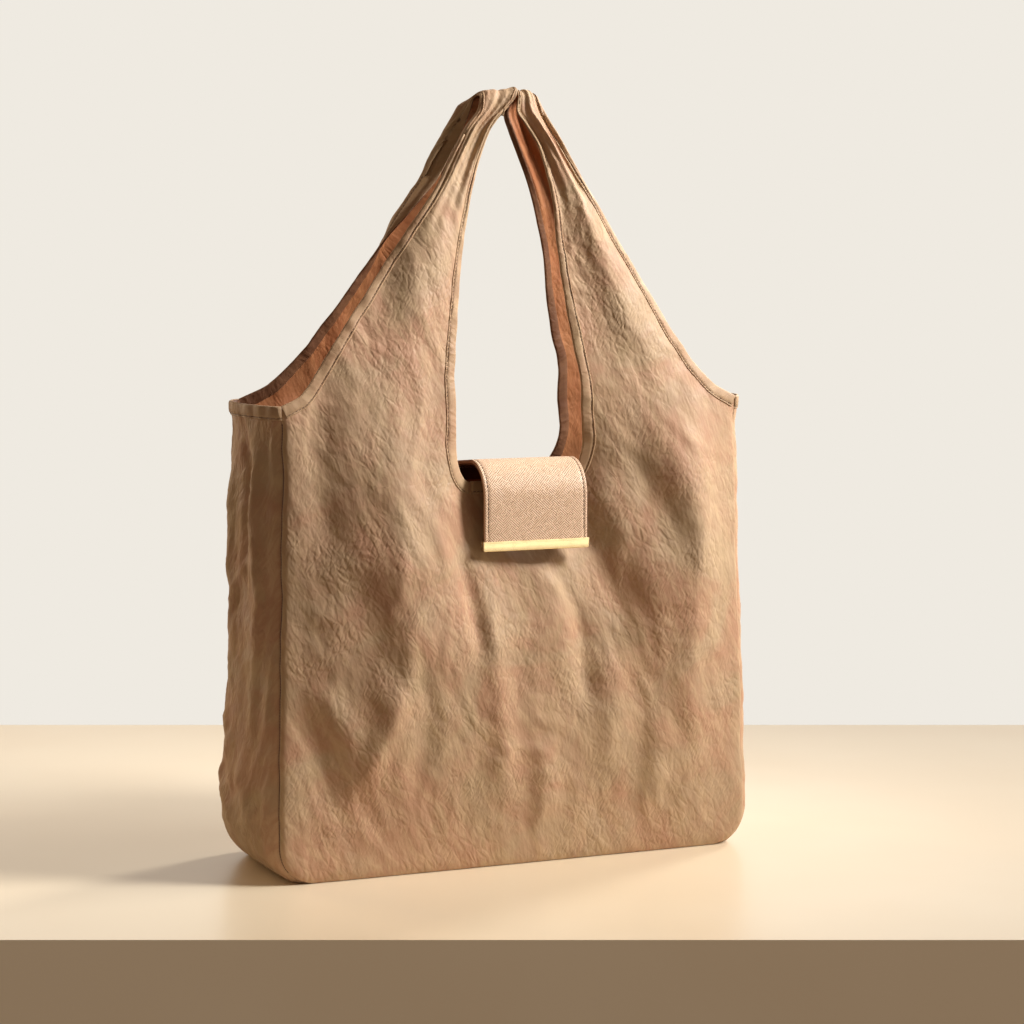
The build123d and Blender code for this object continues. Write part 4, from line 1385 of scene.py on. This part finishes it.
def split_ring():
    """Two turns of flat-sprung wire, side by side, with the ends stepping over."""
    low, high = box_mm("split_ring")
    centre = (low + high) / 2
    across = math.radians(35)
    direction = np.array([-math.cos(across), math.sin(across), 0])
    normal = np.cross(direction, (0, 0, 1))
    radius, wire = 10.0, 0.64
    turn = np.linspace(0.25, 4 * math.pi + 0.1, 260)
    step = 2 * np.clip((turn - 2 * math.pi + 0.35) / 0.7, 0, 1) - 1
    path = centre + radius * (
        np.cos(turn)[:, None] * direction + np.sin(turn)[:, None] * np.array([0, 0, 1.0]))
    path = path + (wire * step)[:, None] * normal
    rings = wire_rings(path, wire)
    return make_mesh("ring_coils", rings.reshape(-1, 3), tube(rings), [gold])


def edge_bar():
    """The folded metal channel on the flap's lower edge, rounded at its lower corners."""
    low, high = box_mm("edge_bar")
    middle_y, half_y = (low[1] + high[1]) / 2, (high[1] - low[1]) / 2
    wall, lip, corner = 0.7, high[2], 2.4
    xs = np.concatenate([
        low[0] + corner * (1 - np.cos(np.linspace(0, math.pi / 2, 10))),
        np.linspace(low[0] + 4, high[0] - 4, 30),
        high[0] - corner * (1 - np.cos(np.linspace(math.pi / 2, 0, 10)))])
    turn = np.linspace(0, math.pi / 2, 6)
    r = 0.9
    outer = [(-half_y + 0.12, lip), (-half_y, lip - 0.2)]
    outer += [(-half_y + r - r * math.cos(a), low[2] + r - r * math.sin(a)) for a in turn]
    outer += [(-y, z) for y, z in outer[::-1]]
    inner_half = half_y - wall
    inner = [(inner_half - 0.1, lip), (inner_half, lip - 0.3), (inner_half, low[2] + wall)]
    inner += [(-y, z) for y, z in inner[::-1]]
    section = np.array(outer + inner)
    edge = np.clip(np.minimum(xs - low[0], high[0] - xs), 0, corner)
    rise = corner - np.sqrt(corner**2 - (corner - edge) ** 2)
    pinch = 1 - 0.12 * np.clip(1 - edge / 0.5, 0, 1)
    z = np.maximum(section[None, :, 1], low[2] + rise[:, None] * 0.9)
    y = middle_y + section[None, :, 0] * pinch[:, None]
    points = np.stack([np.repeat(xs[:, None], len(section), 1), y, z], -1)
    return make_mesh("edge_bar_brushed", points.reshape(-1, 3), tube(points), [brushed_gold])


def bar_screw_pieces():
    """Two slotted screw heads on the inner side of the bar, with their shanks."""
    low, high = box_mm("bar_screws")
    z = (low[2] + high[2]) / 2
    screw_spacing = 60.0
    sides, parts, faces = 40, [], []
    turn = np.arange(sides) * 2 * math.pi / sides
    shape = [(1.0, low[1]), (1.0, high[1] - 0.6), (1.95, high[1] - 0.6), (2.0, high[1] - 0.3),
             (1.7, high[1] - 0.08), (1.2, high[1]), (0.6, high[1]), (0.02, high[1])]
    for x in (wrap_x - screw_spacing / 2, wrap_x + screw_spacing / 2):
        rings = np.stack([
            np.stack([x + radius * np.cos(turn), np.full(sides, y), z + radius * np.sin(turn)], -1)
            for radius, y in shape])
        in_slot = (np.abs(rings[..., 2] - z) < 0.32) & (rings[..., 1] > high[1] - 0.2)
        rings[..., 1] -= 0.4 * in_slot
        faces += [[i + len(parts) * rings.shape[0] * sides for i in face] for face in tube(rings)]
        parts.append(rings.reshape(-1, 3))
    return make_mesh("bar_screw_heads", np.vstack(parts), faces, [brushed_gold])


def hook_tab():
    """A leather strip folded round the split ring and riveted to the wrap."""
    low, high = box_mm("hook_tab")
    thick, radius = 1.2, 4.0
    centre_x, centre_y = low[0] + radius + 0.6, (low[1] + high[1]) / 2
    end_x = high[0]
    bend = np.radians(np.linspace(62, 298, 30))
    curl = [(centre_x + radius * math.cos(a), centre_y + radius * math.sin(a)) for a in bend]
    layer = thick / 2 + 0.02
    first = [(x, centre_y + layer) for x in np.linspace(end_x, centre_x + 10.5, 14)]
    ease = [(centre_x + 6.5, centre_y + 1.35)]
    path = first + ease + curl + [(x, 2 * centre_y - y) for x, y in (first + ease)[::-1]]
    line = np.array(resample(path, 150))
    along = np.gradient(line, axis=0)
    along /= np.linalg.norm(along, axis=1)[:, None]
    normal = np.stack([along[:, 1], -along[:, 0]], -1)
    h, t = (high[2] - low[2]) / 2, thick / 2 - 0.03
    section = [(h - 0.2, t), (h, t - 0.25), (h, -t + 0.25), (h - 0.2, -t)]
    section += [(z, -t) for z in (3.0, 0.0, -3.0)]
    section += [(-z, lift) for z, lift in section[3::-1]]
    section += [(z, t) for z in (-3.0, 0.0, 3.0)]
    z_middle = (low[2] + high[2]) / 2
    rings = np.stack([np.stack([
        line[:, 0] + normal[:, 0] * lift, line[:, 1] + normal[:, 1] * lift,
        np.full(len(line), z_middle + z)], -1) for z, lift in section], 1)
    points, faces, uv = join_tubes([rings])
    return make_mesh("tab_leather", points, faces, [flap_leather], uv=uv)


def bevelled(node, name, width, material):
    """A copy of a metal node with its sharp edges rounded."""
    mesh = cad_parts[node].data.copy()
    mesh.name = name
    mesh.transform(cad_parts[node].matrix_world)
    work = bmesh.new()
    work.from_mesh(mesh)
    bmesh.ops.remove_doubles(work, verts=work.verts, dist=0.01 * MM)
    bmesh.ops.dissolve_limit(work, angle_limit=math.radians(3), verts=work.verts, edges=work.edges)
    sharp = [
        e for e in work.edges
        if len(e.link_faces) == 2 and e.calc_face_angle(0) > math.radians(35)]
    bmesh.ops.bevel(
        work, geom=sharp, offset=width * MM, segments=2, profile=0.5,
        affect="EDGES", clamp_overlap=True)
    bmesh.ops.triangulate(work, faces=[f for f in work.faces if len(f.verts) > 4])
    for face in work.faces:
        face.smooth = True
    for edge in work.edges:
        edge.smooth = edge.calc_face_angle(0) < math.radians(40)
    work.to_mesh(mesh)
    work.free()
    mesh.materials.clear()
    mesh.materials.append(material)
    return link(bpy.data.objects.new(name, mesh))


def magnet_piece(node, name):
    low, high = box_mm(node)
    middle = (low + high) / 2
    thick = high[1] - low[1]
    radius, chamfer, half = 6.98, 0.28, thick / 2
    shape = [
        (0.02, -half), (radius - chamfer, -half), (radius, -half + 0.2),
        (radius, half - 0.2), (radius - chamfer, half), (0.02, half)]
    return lathed(name, shape, middle, (0, 1, 0), [magnet_steel])


def rivet_piece():
    low, high = box_mm("tab_rivet")
    middle = (low + high) / 2
    head, dome_rise = 4.0, 1.2
    dome = [
        (head * math.cos(a), high[1] - dome_rise + dome_rise * math.sin(a))
        for a in np.radians(np.linspace(0, 88, 12))]
    shape = [
        (0.02, low[1]), (2.6, low[1]), (2.8, low[1] + 0.2), (1.5, low[1] + 0.4),
        (1.5, high[1] - 1.3), (3.7, high[1] - 1.3)] + dome
    return lathed("rivet_cap", shape, (middle[0], 0, middle[2]), (0, 1, 0), [gold])


# ---------------------------------------------------------------- scene: floor, light, camera
camera_azimuth = math.radians(-22.74)


def aimed(obj, location, direction):
    """Place a camera or a light and point it in a direction."""
    obj.location = Vector(location)
    obj.rotation_mode = "QUATERNION"
    obj.rotation_quaternion = direction.to_track_quat("-Z", "Y")
    return link(obj)


def camera():
    azimuth, elevation = camera_azimuth, math.radians(5.82)
    back = Vector((
        math.sin(azimuth) * math.cos(elevation),
        -math.cos(azimuth) * math.cos(elevation),
        math.sin(elevation)))
    data = bpy.data.cameras.new("camera")
    data.sensor_width = 36.0
    data.lens = 92.6
    data.clip_end = 50.0
    obj = bpy.data.objects.new("camera", data)
    bpy.context.scene.camera = aimed(obj, (-0.8283, -2.0240, 0.5073), -back)


def lamp(kind, name, location, target, power, color, **shape):
    data = bpy.data.lights.new(name, kind)
    for key, value in shape.items():
        setattr(data, key, value)
    data.energy = power
    data.color = color
    aimed(bpy.data.objects.new(name, data), location, Vector(target) - Vector(location))


def area_light(name, location, target, size, power, color):
    lamp(
        "AREA", name, location, target, power, color,
        shape="RECTANGLE", size=size[0], size_y=size[1])


def spot_light(name, location, target, half_angle, power, color):
    lamp(
        "SPOT", name, location, target, power, color,
        spot_size=2 * math.radians(half_angle), spot_blend=1.0, shadow_soft_size=0.3)


def floor_slab():
    """A plain pale slab, its front edge across the camera's view."""
    made = Material("floor", srgb(206, 190, 166), 0.5, Coat_Weight=0.8, Coat_Roughness=0.28)
    soft = made.span(made.noise(made.solid(3), 3, 0.5), 0.3, 0.7, 0.0, 0.6)
    made.color(made.mix(soft, srgb(236, 220, 190), srgb(228, 208, 174)))
    near, far, side, deep = -300, 566, 700, 300
    corners = [(-side, near), (side, near), (side, far), (-side, far)]
    points = [(x, y, z) for z in (0, -deep) for x, y in corners]
    faces = [(0, 1, 2, 3), (0, 4, 5, 1), (1, 5, 6, 2), (2, 6, 7, 3), (3, 7, 4, 0), (7, 6, 5, 4)]
    floor = make_mesh("floor", points, faces, [made.material])
    floor.data.polygons.foreach_set("use_smooth", np.zeros(len(faces), bool))
    floor.data.transform(Matrix.Rotation(camera_azimuth, 4, "Z"))


def backdrop():
    """A pale backdrop for the camera and in reflections, and a dim warm light for the rest."""
    world = bpy.data.worlds.new("studio")
    world.use_nodes = True
    nodes, links = world.node_tree.nodes, world.node_tree.links
    seen = nodes["Background"]
    seen.inputs[0].default_value = (*srgb(239, 234, 225), 1)
    ambient = nodes.new("ShaderNodeBackground")
    ambient.inputs[0].default_value = (1.0, 0.64, 0.38, 1)
    ambient.inputs[1].default_value = 0.17
    ray = nodes.new("ShaderNodeLightPath")
    direct = nodes.new("ShaderNodeMath")
    direct.operation = "MAXIMUM"
    mixed = nodes.new("ShaderNodeMixShader")
    links.new(ray.outputs["Is Camera Ray"], direct.inputs[0])
    links.new(ray.outputs["Is Glossy Ray"], direct.inputs[1])
    links.new(direct.outputs[0], mixed.inputs[0])
    links.new(ambient.outputs[0], mixed.inputs[1])
    links.new(seen.outputs[0], mixed.inputs[2])
    links.new(mixed.outputs[0], nodes["World Output"].inputs[0])
    bpy.context.scene.world = world


def studio():
    floor_slab()
    backdrop()
    middle, square = (0, 0, 0.32), (0.8, 0.8)
    area_light("key", (1.5, -0.54, 1.4), (0.05, -0.05, 0.4), square, 29, (1.0, 0.985, 1.0))
    area_light("front", (1.25, -2.75, 0.42), middle, (1.2, 0.9), 5, (1.0, 0.95, 0.9))
    area_light("rim", (-1.1, 1.9, 0.9), middle, (0.5, 1.2), 13, (1.0, 0.76, 0.5))
    spot_light("upper", (1.45, -0.95, 1.5), (0.05, 0, 0.5), 20, 270, (1.0, 0.985, 0.98))
    spot_light("back", (1.9, 0.95, 1.5), (0, 0.05, 0.36), 16, 190, (1.0, 0.97, 0.93))
    bpy.context.scene.view_settings.view_transform = "Standard"


def put(obj, body, slot, *nodes):
    """Let a piece ride on a body and stand in for CAD nodes. The slot argument is not used."""
    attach(obj, body)
    if nodes:
        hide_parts(*nodes)
    return obj


camera()
studio()
soft_pieces = {
    "front_panel": panel(FRONT),
    "back_panel": panel(BACK),
    "gusset_left": gusset(LEFT),
    "gusset_right": gusset(RIGHT),
    "base_panel": base_cloth(),
}
for node, obj in soft_pieces.items():
    put(obj, "root", "cloth", node)

hems, hem_lines = {}, []
for side, node in ((LEFT, "armhole_binding_left"), (RIGHT, "armhole_binding_right")):
    hems[node], lines = armhole_tape(side)
    hem_lines += lines
hems["neck_binding"], lines = neck_tape()
hem_lines += lines
for node, obj in hems.items():
    put(obj, "root", "cloth_tape", node)
# A close row of dark stitches on each side seam: a painted shade line in the seam.
side_seam_shade_stitches = make_mesh("side_seam_shade_stitches", *stitch_mesh(seam_lines(), 2.3, 2.2, 0.5), [thread_dark])
put(side_seam_shade_stitches, "root", "cloth_tape")
hem_stitches = make_mesh("hem_stitches", *stitch_mesh(hem_lines, 3.2, 2.4, 0.24), [thread_dark])
put(hem_stitches, "root", "cloth_tape")
seam_tapes = [
    put(seam_tape(FRONT), "root", "cloth_tape", "seam_binding_front"),
    put(seam_tape(BACK), "root", "cloth_tape", "seam_binding_back")]
leathers, leather_stitches = leather_pieces()
leather_slots = {"outer": "leather", "lining": "leather_lining", "stiffener": "board"}
flap_pieces = [put(leather_stitches[0], "flap", "leather")]
for node, obj in leathers.items():
    on_flap = node.startswith("flap")
    put(obj, "flap" if on_flap else "root", leather_slots[node.split("_")[1]], node)
    flap_pieces += [obj] if on_flap else []
put(leather_stitches[1], "root", "leather")
put(fold_roll(), "root", "leather")
magnet_cloth = put(magnet_pouch(), "front_closure", "cloth", "magnet_patch")
for node, body in (("front_magnet", "front_closure"), ("flap_magnet", "flap_tip"), ("wrap_magnet", "root")):
    put(magnet_piece(node, "magnet_" + node.split("_")[0]), body, "magnet", node)
put(edge_bar(), "flap_tip", "gold_metal", "edge_bar")
put(bar_screw_pieces(), "flap_tip", "gold_metal", "bar_screws")
put(hook_tab(), "root", "leather", "hook_tab")
put(rivet_piece(), "root", "gold_metal", "tab_rivet")
put(split_ring(), "ring", "gold_metal", "split_ring")
for node, name, rounding, body, material, slot in (
        ("swivel_eye", "swivel_smooth", 0.2, "swivel", gold, "gold_metal"),
        ("hook_body", "hook_smooth", 0.5, "hook", gold, "gold_metal"),
        ("gate", "gate_smooth", 0.4, "gate", gold, "gold_metal"),
        ("gate_pin", "pin_smooth", 0.12, "hook", steel, "spring_steel"),
        ("gate_spring", "spring_smooth", 0.05, "hook", steel, "spring_steel")):
    put(bevelled(node, name, rounding, material), body, slot, node)

# ---------------------------------------------------------------- own meshes for the cloth and flap pieces
cloth_pieces = [*soft_pieces.values(), *hems.values(), *seam_tapes, hem_stitches, side_seam_shade_stitches]


def fold_flat(pieces):
    """Give each piece a mesh of its own."""
    for piece in pieces:
        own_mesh(piece)


fold_flat(cloth_pieces)
fold_flat(flap_pieces)
